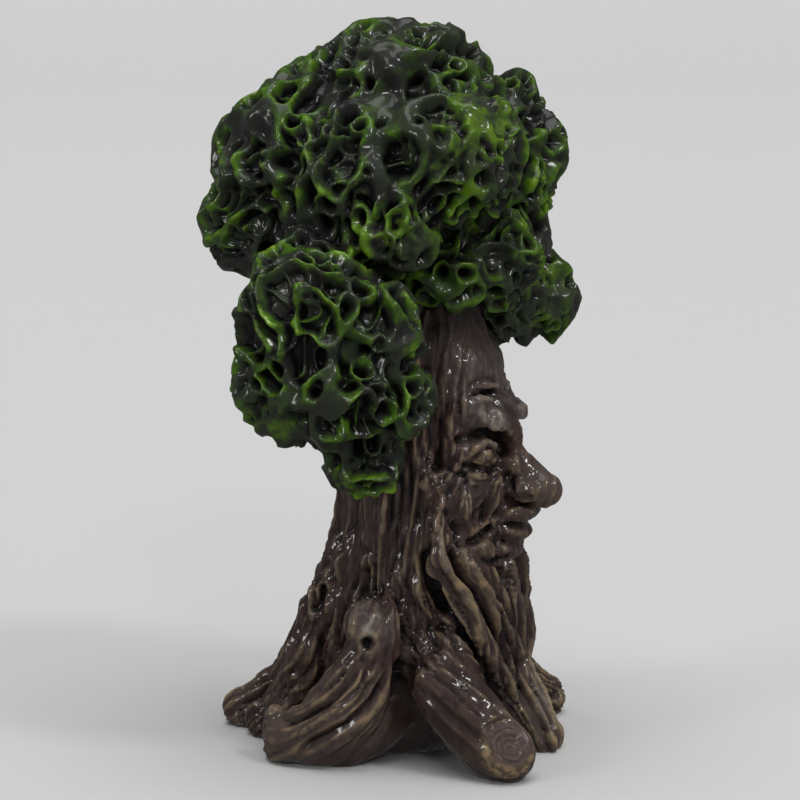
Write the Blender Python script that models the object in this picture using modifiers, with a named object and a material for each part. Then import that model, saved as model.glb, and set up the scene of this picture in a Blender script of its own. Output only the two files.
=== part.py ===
"""Tree face sculpture: a small painted casting of an old tree with a bearded face.

The casting is one piece. The trunk, with its face, locks and roots, is modelled as one mass and the
foliage as another; they are joined into one solid and cut flat underneath. The face looks towards -Y,
and the tree's own right side is towards -X. Units are metres and +Z is up.
"""

import math

import bmesh
import bpy
import numpy as np
from mathutils import Matrix, Vector
from mathutils.bvhtree import BVHTree

# Driving sizes
HEIGHT = 0.100  # floor to the top of the crown
STANCE = (2.2, -1.03)  # where the trunk's axis stands, off the middle of the outline
VOXEL = 0.55  # grain of the mesh while it is being modelled
TRIANGLES = 9500  # of the finished solid, before the floor cuts it

# The free form is modelled in hundredths of the height, across, forward and up from the trunk's axis
SHARE = HEIGHT / 100

# Foliage: how far apart the pits stand, how wide and how deep they are, and how far they wander
PIT_SPACING = 7.0
PIT_REACH = 0.62  # a pit's radius, as a share of the spacing
PIT_DEPTH = 2.4
PIT_WANDER = 1.3
PIT_SEED = 11
TABLE_SIZE = 4096  # spots that a cell is given from
TABLE_STEPS = (73, 179, 283)
LEAF_FADE = 0.8  # how far outside the foliage its pits fade out
LEAF_EDGE = 1.6

# Trunk: height, how far its middle stands behind the axis, half its width and half its depth
TRUNK_SECTIONS = (
    (-3, 0.0, 8.2, 8.6),
    (1, 0.0, 8.8, 9.2),
    (5, -0.3, 10.6, 11.4),
    (9, -0.8, 12.4, 13.5),
    (14, -1.8, 13.2, 14.8),
    (20, -2.2, 13.4, 14.6),
    (26, -3.2, 13.0, 13.4),
    (32, -3.9, 12.5, 12.0),
    (38, -3.6, 12.0, 11.3),
    (44, -3.4, 11.5, 10.9),
    (50, -3.4, 11.0, 11.3),
    (56, -3.6, 9.6, 10.2),
    (63, -3.2, 8.6, 9.2),
    (72, -2.0, 8.0, 8.0),
)
TRUNK_SIDES = 48

# Roots and boughs: points along the middle, each with the radius there
ROOTS = {
    "foot": (
        (-12.0, -2.5, 20, 4.4), (-15.3, -1.5, 17.6, 3.5), (-15.5, 0.8, 10.2, 5.0),
        (-15.3, 5.0, 4.4, 5.0), (-14.9, 10.4, 3.0, 3.9),
    ),
    "sawn": (
        (-7.0, -5.0, 17, 6.2), (-11.6, -9.6, 12, 5.2), (-13.8, -15.3, 6.8, 4.5), (-15.0, -19.8, 3.7, 4.1),
    ),
    "front": ((0.0, -12.0, 13, 4.6), (0.6, -16.6, 9, 3.7), (0.8, -19.2, 5.0, 3.2), (1.0, -20.6, 2.2, 2.8)),
    "left_front": (
        (6.0, -5.0, 18, 6.0), (12.6, -9.6, 9.4, 5.0), (17.0, -12.4, 4.2, 4.2), (20.6, -15.2, 2.0, 3.1),
    ),
    "left_front_fork": ((10.0, -3.0, 12, 4.2), (15.0, -4.6, 6.0, 3.4), (18.6, -6.6, 2.0, 2.6)),
    "left": ((6.0, 1.0, 19, 6.0), (12.6, 3.6, 9.6, 5.2), (17.6, 6.0, 4.2, 4.3), (21.6, 8.4, 2.0, 3.0)),
    "left_back": ((4.0, 5.0, 18, 5.5), (8.0, 11.0, 8.6, 4.6), (10.6, 15.6, 3.6, 3.8), (12.4, 18.6, 1.8, 2.8)),
    "back": ((0.5, 5.0, 19, 6.0), (1.8, 12.0, 9.8, 5.0), (2.2, 17.6, 4.6, 4.3), (1.6, 22.6, 2.2, 3.2)),
    "back_fork": ((-2.0, 10.0, 12, 4.0), (-4.4, 14.6, 6.0, 3.2), (-3.8, 18.6, 2.0, 2.6)),
    "burl": ((-5.0, 6.0, 27, 3.4), (-7.2, 9.6, 20, 3.4), (-7.9, 12.4, 13, 3.1), (-7.4, 15.2, 2.6, 2.9)),
}
BOUGHS = {
    "right": ((-2.0, -2.0, 54, 6.0), (-10.0, 0.5, 62, 5.0), (-21.0, 3.5, 62, 4.0)),
    "left_front": ((2.0, -5.0, 56, 5.5), (10.0, -10.0, 61, 4.4), (18.0, -14.6, 61, 3.4)),
    "left": ((2.0, -1.0, 56, 5.5), (10.0, 2.0, 61, 4.4), (16.0, 5.0, 62, 3.6)),
}
KNOB = ((-14.9, -1.6, 18.4), (3.7, 3.6, 4.6))  # the rounded knee at the top of the foot
TOE = ((-15.2, 12.2, 6.0), (1.5, 1.6, 1.6))
SAW_CUT = (-15.9, -21.7, 4.3)  # the middle of the sawn root's cut face
SAW_WAY = (-0.62, -0.74, 0.25)  # the way that the cut faces
SAW_REACH = 6.0

# Foliage: middle and half sizes of each rounded clump
CLUMPS = {
    "crown_back": ((-6.3, 11.8, 79.6), (14.0, 11.6, 13.0)),
    "crown_top_back": ((-2.6, 8.2, 84.6), (13.0, 10.4, 11.4)),
    "crown_back_low": ((-7.6, 16.0, 72.6), (10.0, 9.4, 8.4)),
    "crown_top": ((0.1, -0.6, 86.6), (15.6, 14.0, 13.6)),
    "crown_front": ((-6.6, -7.8, 82.0), (12.6, 12.4, 10.4)),
    "crown_right": ((-11.4, 3.2, 79.6), (10.4, 12.6, 10.6)),
    "crown_left": ((13.0, 5.5, 81.0), (14.0, 15.0, 12.4)),
    "crown_left_front": ((15.6, -11.4, 80.8), (9.6, 7.2, 11.4)),
    "crown_core": ((2.0, 0.0, 72.0), (13.0, 12.0, 9.0)),
    "right_bump": ((-14.6, -4.6, 72.6), (7.4, 6.2, 6.8)),
    "right_join": ((-16.4, 4.6, 68.0), (7.0, 8.0, 6.0)),
    "back_skirt": ((2.6, 18.0, 70.0), (8.6, 7.0, 8.4)),
    "brow_lump": ((2.6, -13.6, 67.4), (7.6, 7.0, 7.4)),
    "left_join": ((14.2, -11.4, 69.0), (7.6, 6.6, 8.0)),
    "left_front_lobe": ((19.7, -15.2, 59.9), (6.4, 5.5, 7.2)),
    "right_lobe": ((-22.6, 4.6, 62.0), (9.0, 10.6, 9.8)),
    "right_lobe_front": ((-20.8, -2.6, 60.2), (7.0, 7.4, 8.6)),
    "right_lobe_middle": ((-22.4, 2.4, 52.6), (8.4, 10.8, 9.0)),
    "right_lobe_back": ((-22.6, 8.8, 55.6), (7.2, 6.6, 9.6)),
    "right_lobe_low": ((-19.4, -5.4, 51.0), (6.0, 6.0, 6.4)),
    "right_lobe_tip": ((-19.8, -1.8, 43.2), (5.4, 5.9, 6.6)),
    "left_lobe": ((18.0, 5.2, 65.0), (9.2, 9.8, 10.0)),
    "left_lobe_middle": ((17.2, 3.0, 56.4), (7.4, 8.2, 7.6)),
    "left_lobe_tip": ((16.2, 6.6, 49.0), (5.8, 6.4, 6.2)),
}

# Face: middle and half sizes of each mass; those off the middle line are on the tree's right and mirrored
FACE_MIDDLE = {
    "head": ((0.0, -6.5, 42.0), (10.6, 9.3, 15.0)),
    "forehead": ((0.0, -7.0, 52.0), (8.6, 8.6, 8.0)),
    "glabella": ((0.0, -13.6, 48.0), (3.6, 3.4, 3.4)),
    "nose_root": ((0.0, -15.4, 43.6), (2.4, 2.4, 3.2)),
    "nose_ball": ((0.0, -20.6, 37.0), (2.6, 2.7, 2.5)),
    "muzzle": ((0.0, -14.2, 32.6), (5.6, 4.6, 3.8)),
    "lip_upper": ((0.0, -17.6, 32.9), (4.2, 2.6, 1.3)),
    "lip_lower": ((0.0, -16.8, 30.5), (3.2, 2.3, 1.2)),
    "chin": ((0.0, -15.4, 28.0), (4.4, 2.4, 1.9)),
    "beard": ((0.0, -12.6, 19.5), (8.6, 5.3, 11.5)),
}
FACE_PAIRS = {
    "brow": ((-4.4, -14.2, 46.9), (4.6, 3.2, 2.6)),
    "nose_side": ((-1.8, -16.6, 38.4), (2.0, 2.4, 3.2)),
    "nostril_wing": ((-2.5, -18.9, 36.7), (1.7, 2.2, 1.6)),
    "eyeball": ((-5.6, -13.0, 42.0), (2.5, 2.3, 2.0)),
    "eye_bag": ((-6.4, -13.2, 39.0), (2.8, 2.1, 1.4)),
    "fold": ((-4.4, -13.4, 36.6), (2.6, 3.4, 4.0)),
    "cheek": ((-7.8, -10.8, 35.4), (3.4, 3.0, 4.2)),
    "jowl": ((-5.6, -13.4, 28.2), (2.7, 2.5, 2.1)),
}
NOSE_RIDGE = (
    (0.0, -14.6, 45.0, 2.0), (0.0, -16.6, 42.0, 1.7), (0.0, -18.8, 39.4, 2.0), (0.0, -20.2, 37.8, 2.2),
)

STROKE_FADE = 6.0  # how quickly a stroke reaches its full depth from either end
STROKE_ENDS = 0.25  # of its depth at the very ends

# Strokes of the face: the path, how far the stroke reaches to each side, and how far it lifts the skin
FACE_PAIR_STROKES = {
    "over_eye": (
        ((-1.6, -16, 43.4), (-4.4, -15.4, 44.4), (-8.4, -13, 43.6), (-10.4, -10.6, 41)), 1.4, -0.9,
    ),
    "under_eye": (((-2.2, -16, 39.6), (-5.6, -15.6, 40.4), (-9.4, -12.4, 40.2)), 0.9, -0.7),
    "cheek_fold": (((-4.0, -17.0, 38.4), (-4.8, -16.6, 35.4), (-5.6, -16.0, 32.0)), 1.2, -0.7),
    "over_brow": (((-3.6, -14.9, 49.4), (-6.6, -14.6, 49.8), (-8.6, -13, 49.2)), 1.0, -1.0),
    "under_cheek": (
        ((-9.6, -11.6, 38.6), (-11.0, -10.6, 34.4), (-10.8, -11.8, 31.6), (-8, -14, 30.6)), 1.5, -1.2,
    ),
}
FACE_MIDDLE_STROKES = {
    "mouth": (
        ((-5.0, -15.8, 31.9), (-3, -17.8, 31.6), (0, -19, 31.7), (3, -17.8, 31.6), (5.0, -15.8, 31.9)),
        0.9, -0.7,
    ),
    "under_nose": (((0, -19, 36), (0, -19, 33.6)), 1.0, -0.5),
}

# Locks of the beard on the tree's right: the outermost by the ear, one under the cheek, one under the mouth
LOCK_GUIDES = (
    (
        (-10.8, -10.4, 36.4), (-12.0, -10.2, 30.1), (-12.0, -11.5, 26.1),
        (-9.9, -13.8, 22.0), (-7.3, -15.0, 16.0), (-3.2, -17.6, 8.6),
    ),
    (
        (-9.6, -11.8, 30.4), (-9.6, -13.2, 26.8), (-8.2, -14.8, 22.8),
        (-6.4, -15.6, 18.0), (-4.2, -16.4, 13.0), (-1.6, -17.4, 8.0),
    ),
    (
        (-3.4, -16.4, 28.0), (-2.6, -17.0, 24.0), (-2.2, -17.2, 20.0),
        (-1.8, -17.2, 16.0), (-1.2, -17.2, 12.0), (-0.6, -17.0, 8.4),
    ),
)
LOCK_COUNT = 5
LOCK_RADII = (1.6, 2.2, 1.3)  # at the cheek, half way down and at the tip
LOCK_SUNK = 0.35  # of a lock's radius is buried
LOCK_VALLEY = 1.1
LOCK_DEPTH = 1.0

# Bark: flutes that run down the sides and back of the trunk into the roots
FLUTE_COUNT = 9
FLUTE_FROM, FLUTE_TO = -30.0, 210.0  # degrees round the trunk, from its left through the back to its right
FLUTE_RINGS = slice(3, 12)  # of the trunk's sections
FLUTE_WIDTH = 2.4
FLUTE_DEPTH = 1.4
FLUTE_SWAY = 0.10  # in radians, to and fro as a flute goes up
FLUTE_SWAY_LENGTH = 7.0

# Grooves along the roots: how far round from the top of the root each one lies, in degrees
GROOVED_ROOTS = ("left_front", "left_front_fork", "left", "left_back", "back", "back_fork", "sawn", "front")
GROOVE_TURNS = (-65, -20, 25, 70)
GROOVE_WIDTH = 1.2
GROOVE_DEPTH = 0.8

# Strokes of the burl, of the valleys beside the foot and of the foot itself, and the eye in its knee
BARK_STROKES = {
    "burl_hollow": (((-9.0, 8.4, 23.5), (-9.5, 9.7, 19.7)), 1.6, -1.5),
    "valley_behind_foot": (
        ((-12.9, 1.0, 28), (-13.8, 2.0, 22.6), (-14.6, 4.4, 17), (-14.4, 7.0, 12.0), (-12.6, 11.0, 7.0)),
        2.4, -2.2,
    ),
    "valley_before_foot": (((-13.4, -4.6, 25), (-14.2, -6.4, 18.4), (-13.5, -7.1, 13.8)), 1.9, -1.5),
    "foot_line_low": (
        ((-16.4, -4.6, 16.1), (-17.6, -4.0, 11.5), (-18.6, -0.9, 7.4), (-17.5, 5.2, 3.2)), 1.2, -0.9,
    ),
    "foot_line_high": (
        ((-18.0, -2.8, 12.9), (-19.1, 0.4, 9.5), (-17.8, 6.2, 5.9), (-15.9, 10.0, 3.8)), 1.2, -0.9,
    ),
}
KNEE_EYE = (-18.6, -2.2, 17.9)
KNEE_EYE_RADIUS = 1.2
KNEE_EYE_DEPTH = 1.5

# Paint
PAINT_COLOUR = (0.045, 0.032, 0.024)
PAINT_ROUGHNESS = 0.35


def clump(shell, middle, half_sizes):
    """Adds an ellipsoid to the shell."""
    at = Matrix.LocRotScale(Vector(middle), None, Vector(half_sizes))
    bmesh.ops.create_icosphere(shell, subdivisions=3, radius=1, matrix=at)


def limb(shell, path):
    """Adds a tube with rounded ends that swells and tapers along its path."""
    curve = bpy.data.curves.new("limb", "CURVE")
    curve.dimensions = "3D"
    curve.bevel_depth = 1
    curve.bevel_resolution = 4
    curve.resolution_u = 6
    curve.use_fill_caps = True
    spline = curve.splines.new("NURBS")
    spline.points.add(len(path) - 1)
    spline.use_endpoint_u = True
    spline.order_u = 3
    for knot, point in zip(spline.points, path):
        knot.co = (*point[:3], 1)
        knot.radius = point[3]
    guide = bpy.data.objects.new("limb", curve)
    bpy.context.scene.collection.objects.link(guide)
    bpy.context.view_layer.update()
    tube = bpy.data.meshes.new_from_object(guide.evaluated_get(bpy.context.evaluated_depsgraph_get()))
    shell.from_mesh(tube)
    bpy.data.objects.remove(guide)
    for point in (path[0], path[-1]):
        clump(shell, point[:3], [point[3] * 0.98] * 3)


def fused(name, shell, smoothing):
    """The shells of one mass run together into a single skin, with the creases between them softened."""
    mesh = bpy.data.meshes.new(name)
    shell.to_mesh(mesh)
    shell.free()
    mass = bpy.data.objects.new(name, mesh)
    bpy.context.scene.collection.objects.link(mass)
    remesh = mass.modifiers.new("one skin", "REMESH")
    remesh.mode = "VOXEL"
    remesh.voxel_size = VOXEL
    smooth = mass.modifiers.new("soften", "SMOOTH")
    smooth.iterations = smoothing
    smooth.factor = 0.5
    return settled(mass)


def settled(mass):
    """The mass with its modifiers applied."""
    bpy.context.view_layer.update()
    mesh = bpy.data.meshes.new_from_object(mass.evaluated_get(bpy.context.evaluated_depsgraph_get()))
    mass.modifiers.clear()
    mass.data = mesh
    return mass


def thinned(mass, triangles):
    """The mass with its flatter faces merged, down to about that many triangles."""
    mass.data.calc_loop_triangles()
    decimate = mass.modifiers.new("thin", "DECIMATE")
    decimate.ratio = triangles / len(mass.data.loop_triangles)
    return settled(mass)


def smooth_path(path, steps=6):
    """More points along a path, on a Catmull-Rom curve through its own."""
    knots = np.array([path[0], *path, path[-1]], float)
    found = []
    for a, b, c, d in zip(knots, knots[1:], knots[2:], knots[3:]):
        for t in np.arange(steps) / steps:
            found.append(0.5 * (2 * b + (c - a) * t + (2 * a - 5 * b + 4 * c - d) * t**2
                                + (3 * b - a - 3 * c + d) * t**3))
    return np.array([*found, knots[-1]])


class Clay:
    """The vertices of a mass while they are pushed in and out, and what share of it is foliage."""

    def __init__(self, mass, foliage):
        self.mass = mass
        count = len(mass.data.vertices)
        self.points = np.empty(count * 3, np.float32)
        mass.data.vertices.foreach_get("co", self.points)
        self.points = self.points.reshape(-1, 3).astype(float)
        self.normals = np.empty(count * 3, np.float32)
        mass.data.vertex_normals.foreach_get("vector", self.normals)
        self.normals = self.normals.reshape(-1, 3).astype(float)
        self.skin = skin_of(mass)
        leaves = skin_of(foliage)
        away = np.array([leaves.find_nearest(Vector(point))[3] for point in self.points])
        self.leafy = np.clip(LEAF_EDGE - away / LEAF_FADE, 0, 1)

    def stroke(self, path, width, lift):
        """Raises the skin by lift along a path laid on it, or presses it in, fading out at both ends."""
        laid = np.array([self.skin.find_nearest(Vector(point))[0] for point in smooth_path(path)])
        nearest = np.full(len(self.points), np.inf)
        along = np.zeros(len(self.points))
        for step, (start, end) in enumerate(zip(laid, laid[1:])):
            way = end - start
            share = np.clip((self.points - start) @ way / max(way @ way, 1e-12), 0, 1)
            distance = np.linalg.norm(self.points - start - share[:, None] * way, axis=1)
            closer = distance < nearest
            nearest[closer] = distance[closer]
            along[closer] = (step + share[closer]) / (len(laid) - 1)
        edge = np.clip(1 - (nearest / width) ** 2, 0, 1) ** 2
        fade = np.clip(STROKE_FADE * np.minimum(along, 1 - along) + STROKE_ENDS, 0, 1)
        self.points += self.normals * (edge * fade * lift)[:, None]

    def dab(self, middle, radius, lift):
        """Raises or presses one round spot of the skin."""
        distance = np.linalg.norm(self.points - middle, axis=1) / radius
        self.points += self.normals * (np.clip(1 - distance**2, 0, 1) ** 2 * lift)[:, None]

    def saw(self, middle, way, reach):
        """Flattens what stands out past a plane, within reach of its middle."""
        way = np.array(way) / np.linalg.norm(way)
        proud = (self.points - middle) @ way
        near = (np.linalg.norm(self.points - middle, axis=1) < reach) & (proud > 0)
        self.points[near] -= proud[near, None] * way

    def settle(self):
        self.mass.data.vertices.foreach_set("co", self.points.astype(np.float32).ravel())
        self.mass.data.update()


def skin_of(mass):
    return BVHTree.FromPolygons([v.co for v in mass.data.vertices], [p.vertices for p in mass.data.polygons])


def mirrored(point):
    """The same point on the tree's other side."""
    return (-point[0], *point[1:])


def between(path_a, path_b, share):
    return (1 - share) * np.array(path_a, float) + share * np.array(path_b, float)


def trunk_core(shell):
    """The trunk itself, a loft through its oval sections."""
    rings = []
    for height, behind, half_width, half_depth in TRUNK_SECTIONS:
        ring = []
        for side in range(TRUNK_SIDES):
            angle = math.tau * side / TRUNK_SIDES
            point = (half_width * math.cos(angle), behind + half_depth * math.sin(angle), height)
            ring.append(shell.verts.new(point))
        rings.append(ring)
    for lower, upper in zip(rings, rings[1:]):
        for side in range(TRUNK_SIDES):
            after = (side + 1) % TRUNK_SIDES
            shell.faces.new((lower[side], lower[after], upper[after], upper[side]))
    shell.faces.new(reversed(rings[0]))
    shell.faces.new(rings[-1])


def face(shell):
    """The masses of the face: nose, lips, chin and beard, and the brows, eyes and cheeks on both sides."""
    limb(shell, NOSE_RIDGE)
    for middle, half_sizes in FACE_MIDDLE.values():
        clump(shell, middle, half_sizes)
    for middle, half_sizes in FACE_PAIRS.values():
        clump(shell, middle, half_sizes)
        clump(shell, mirrored(middle), half_sizes)


def lock_path(number):
    """The line of one lock, between the guides; a half number is the line between two locks."""
    place_in_row = (len(LOCK_GUIDES) - 1) * number / (LOCK_COUNT - 1)
    guide = min(max(int(place_in_row), 0), len(LOCK_GUIDES) - 2)
    return between(LOCK_GUIDES[guide], LOCK_GUIDES[guide + 1], place_in_row - guide)


def locks(shell):
    """The locks of the beard on both sides, drawn together towards the tip."""
    for number in range(LOCK_COUNT):
        path = lock_path(number)
        radii = np.interp(np.linspace(0, 1, len(path)), (0, 0.5, 1), LOCK_RADII)
        for side in (1, -1):
            limb(shell, [(side * x, y + LOCK_SUNK * r, z, r) for (x, y, z), r in zip(path, radii)])


def carve_face(clay):
    """The sockets, eyelids, mouth and folds of the face."""
    for path, width, lift in FACE_PAIR_STROKES.values():
        clay.stroke(path, width, lift)
        clay.stroke([mirrored(point) for point in path], width, lift)
    for path, width, lift in FACE_MIDDLE_STROKES.values():
        clay.stroke(path, width, lift)


def carve_locks(clay):
    """The valleys between the locks of the beard."""
    for number in range(LOCK_COUNT):
        path = lock_path(number - 0.5)
        clay.stroke(path, LOCK_VALLEY, -LOCK_DEPTH)
        clay.stroke([mirrored(point) for point in path], LOCK_VALLEY, -LOCK_DEPTH)


def carve_bark(clay):
    """The flutes of the trunk, the hollow in the burl, the lines of the foot and the eye in its knee."""
    for number in range(FLUTE_COUNT):
        angle = math.radians(FLUTE_FROM + (FLUTE_TO - FLUTE_FROM) * number / (FLUTE_COUNT - 1))
        path = []
        for height, behind, half_width, half_depth in TRUNK_SECTIONS[FLUTE_RINGS]:
            turn = angle + FLUTE_SWAY * math.sin(height / FLUTE_SWAY_LENGTH + 2 * number)
            path.append((half_width * math.cos(turn), behind + half_depth * math.sin(turn), height))
        clay.stroke(path, FLUTE_WIDTH, -FLUTE_DEPTH)
    for path, width, lift in BARK_STROKES.values():
        clay.stroke(path, width, lift)
    clay.dab(KNEE_EYE, KNEE_EYE_RADIUS, -KNEE_EYE_DEPTH)


def carve_roots(clay):
    """Grooves along the roots, and the flat end of the sawn one."""
    for name in GROOVED_ROOTS:
        middle = smooth_path(ROOTS[name])
        way = np.gradient(middle[:, :3], axis=0)
        side = np.cross(way, (0, 0, 1))
        side /= np.linalg.norm(side, axis=1)[:, None]
        top = np.cross(side, way)
        top /= np.linalg.norm(top, axis=1)[:, None]
        for turn in np.radians(GROOVE_TURNS):
            line = middle[:, :3] + middle[:, 3:] * (math.sin(turn) * side + math.cos(turn) * top)
            outer = line[len(line) // 3:]
            clay.stroke(outer[::4], GROOVE_WIDTH, -GROOVE_DEPTH)
    clay.saw(SAW_CUT, SAW_WAY, SAW_REACH)


def scattered_cells(points, spacing, seed):
    """For each point, how far the nearest of a scatter of spots is, one spot to a cell, in spacings."""
    table = np.random.default_rng(seed).random((TABLE_SIZE, 3))
    grid = points / spacing
    cell = np.floor(grid).astype(int)
    nearest = np.full(len(points), np.inf)
    for i in (-1, 0, 1):
        for j in (-1, 0, 1):
            for k in (-1, 0, 1):
                spot = cell + (i, j, k)
                row = spot @ TABLE_STEPS % TABLE_SIZE
                nearest = np.minimum(nearest, np.linalg.norm(grid - spot - table[row], axis=1))
    return nearest


def pit_foliage(clay):
    """The pits of the foliage, as wide as they are irregular."""
    turned = clay.points[:, [1, 2, 0]] * 0.9 + np.cos(clay.points[:, [2, 0, 1]] * 0.7)
    nearest = scattered_cells(clay.points + PIT_WANDER * np.sin(turned), PIT_SPACING, PIT_SEED)
    bowl = np.clip(1 - (nearest / PIT_REACH) ** 2, 0, 1) ** 1.4 * clay.leafy
    clay.points -= clay.normals * (bowl * PIT_DEPTH)[:, None]


def trunk_shell():
    shell = bmesh.new()
    trunk_core(shell)
    for path in (*ROOTS.values(), *BOUGHS.values()):
        limb(shell, path)
    for middle, half_sizes in (KNOB, TOE):
        clump(shell, middle, half_sizes)
    face(shell)
    locks(shell)
    return shell


def foliage_shell():
    shell = bmesh.new()
    for middle, half_sizes in CLUMPS.values():
        clump(shell, middle, half_sizes)
    return shell


def carved():
    """The whole sculpture: trunk and foliage run together, then carved."""
    foliage = fused("foliage", foliage_shell(), 3)
    both = trunk_shell()
    both.from_mesh(foliage.data)
    sculpture = fused("tree_face_sculpture", both, 2)
    clay = Clay(sculpture, foliage)
    bpy.data.objects.remove(foliage)
    carve_face(clay)
    carve_locks(clay)
    carve_bark(clay)
    carve_roots(clay)
    pit_foliage(clay)
    clay.settle()
    thinned(sculpture, TRIANGLES)
    sculpture.data.transform(Matrix.Scale(SHARE, 4) @ Matrix.Translation((*STANCE, 0)))
    return sculpture


def floor_cutter():
    """A block whose top is the floor that the sculpture stands on."""
    bpy.ops.mesh.primitive_cube_add(size=2 * HEIGHT, location=(0, 0, -HEIGHT))
    return bpy.context.object


def paint():
    material = bpy.data.materials.new("painted_resin")
    material.use_nodes = True
    shader = material.node_tree.nodes["Principled BSDF"]
    shader.inputs["Base Color"].default_value = (*PAINT_COLOUR, 1)
    shader.inputs["Roughness"].default_value = PAINT_ROUGHNESS
    shader.inputs["Metallic"].default_value = 0
    return material


def main():
    for obj in list(bpy.data.objects):
        bpy.data.objects.remove(obj)
    sculpture = carved()
    cutters = bpy.data.collections.new("cutters")
    bpy.context.scene.collection.children.link(cutters)
    floor = floor_cutter()
    floor.hide_render = True
    floor.display_type = "WIRE"
    for collection in list(floor.users_collection):
        collection.objects.unlink(floor)
    cutters.objects.link(floor)
    cut = sculpture.modifiers.new("flat underside", "BOOLEAN")
    cut.operation = "DIFFERENCE"
    cut.object = floor
    sculpture.data.materials.append(paint())
    sculpture.data.shade_smooth()
    home = bpy.data.collections.new("tree_face_sculpture")
    bpy.context.scene.collection.children.link(home)
    home.objects.link(sculpture)
    bpy.context.scene.collection.objects.unlink(sculpture)


main()
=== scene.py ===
import math

import bmesh
import bpy
import numpy as np
from mathutils import Matrix, Vector
from mathutils.bvhtree import BVHTree
from mathutils.kdtree import KDTree


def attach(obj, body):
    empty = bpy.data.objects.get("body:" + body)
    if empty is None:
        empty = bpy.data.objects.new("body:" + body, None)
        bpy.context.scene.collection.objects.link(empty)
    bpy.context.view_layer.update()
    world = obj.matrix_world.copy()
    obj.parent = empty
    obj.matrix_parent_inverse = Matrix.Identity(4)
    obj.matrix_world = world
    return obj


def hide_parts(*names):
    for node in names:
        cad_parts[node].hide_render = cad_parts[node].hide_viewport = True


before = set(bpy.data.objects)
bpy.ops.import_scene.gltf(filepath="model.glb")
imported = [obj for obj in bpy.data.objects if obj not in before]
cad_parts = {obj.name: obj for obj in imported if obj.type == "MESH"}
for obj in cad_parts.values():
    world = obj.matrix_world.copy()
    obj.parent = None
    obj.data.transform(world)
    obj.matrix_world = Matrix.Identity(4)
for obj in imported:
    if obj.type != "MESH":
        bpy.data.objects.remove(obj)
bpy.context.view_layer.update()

# Trunk, face and roots.
# The lower part of the casting: an oval trunk that carries the face and its beard and spreads into roots.
# It is resin, cast in one with the foliage, painted dark brown, dry-brushed in ochre and varnished.

MM = 0.001  # the free form is given in millimetres, to the tree's left, back and up from the trunk's axis
STANCE = (2.2, -1.03)  # where the trunk's axis stands, off the origin
TRUNK_GRAIN = 0.25  # how finely the skin is divided while it is worked
TRUNK_TRIANGLES = 190000

# Sections of the trunk: the height, how far its middle lies behind the axis, its half width and half depth
TRUNK_SECTIONS = (
    (-3, 0.0, 8.2, 8.6),
    (1, 0.0, 8.8, 9.2),
    (5, -0.3, 10.6, 11.4),
    (9, -0.8, 12.4, 13.5),
    (14, -1.8, 13.2, 14.8),
    (20, -2.2, 13.4, 14.6),
    (26, -3.2, 13.0, 13.4),
    (32, -3.9, 12.5, 12.0),
    (38, -3.6, 12.0, 11.3),
    (44, -3.4, 11.5, 10.9),
    (50, -3.4, 11.0, 11.3),
    (56, -3.6, 9.6, 10.2),
    (63, -3.2, 8.6, 9.2),
    (72, -2.0, 8.0, 8.0),
)
TRUNK_SIDES = 64

# Points along the middle of each root and bough, with the radius there
ROOTS = {
    "foot": (
        (-12.0, -2.5, 20, 4.4), (-15.3, -1.5, 17.6, 3.5), (-15.5, 0.8, 10.2, 5.0),
        (-15.3, 5.0, 4.4, 5.0), (-14.9, 10.4, 3.0, 3.9),
    ),
    "sawn": (
        (-7.0, -5.0, 17, 6.2), (-11.6, -9.6, 12, 5.2), (-13.8, -15.3, 6.8, 4.5), (-15.0, -19.8, 3.7, 4.1),
    ),
    "sawn_low": ((-5.2, -9.4, 5.4, 3.2), (-10.0, -13.4, 4.4, 3.4), (-13.9, -17.6, 3.6, 3.8)),
    "heel": ((-8.0, -3.0, 8, 4.0), (-12.0, -0.4, 4.3, 4.4), (-14.0, 4.0, 3.6, 4.4)),
    "front": ((0.0, -12.0, 13, 4.6), (0.6, -16.6, 9, 3.7), (0.8, -19.2, 5.0, 3.2), (1.0, -20.6, 2.2, 2.8)),
    "left_front": (
        (6.0, -5.0, 18, 6.0), (12.6, -9.6, 9.4, 5.0), (17.0, -12.4, 4.2, 4.2), (20.6, -15.2, 2.0, 3.1),
    ),
    "left_front_fork": ((10.0, -3.0, 12, 4.2), (15.0, -4.6, 6.0, 3.4), (18.6, -6.6, 2.0, 2.6)),
    "left": ((6.0, 1.0, 19, 6.0), (12.6, 3.6, 9.6, 5.2), (17.6, 6.0, 4.2, 4.3), (21.6, 8.4, 2.0, 3.0)),
    "left_back": (
        (4.0, 5.0, 18, 5.5), (8.0, 11.0, 8.6, 4.6), (10.6, 15.6, 3.6, 3.8), (12.4, 18.6, 1.8, 2.8),
    ),
    "back": ((0.5, 5.0, 19, 6.0), (1.8, 12.0, 9.8, 5.0), (2.2, 17.6, 4.6, 4.3), (1.6, 22.6, 2.2, 3.2)),
    "back_fork": ((-2.0, 10.0, 12, 4.0), (-4.4, 14.6, 6.0, 3.2), (-3.8, 18.6, 2.0, 2.6)),
    "burl": ((-5.5, 5.2, 27, 3.2), (-8.0, 8.4, 20, 3.2), (-9.0, 10.4, 13, 3.0), (-8.8, 13.4, 2.6, 2.8)),
}
BOUGHS = {
    "right": ((-2.0, -2.0, 54, 6.0), (-10.0, 0.5, 62, 5.0), (-21.0, 3.5, 62, 4.0)),
    "left_front": ((2.0, -5.0, 56, 5.5), (9.0, -8.6, 61, 3.6), (14.0, -11.4, 62, 2.6)),
    "left": ((2.0, -1.0, 56, 5.5), (10.0, 2.0, 61, 4.4), (16.0, 5.0, 62, 3.6)),
}

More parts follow.
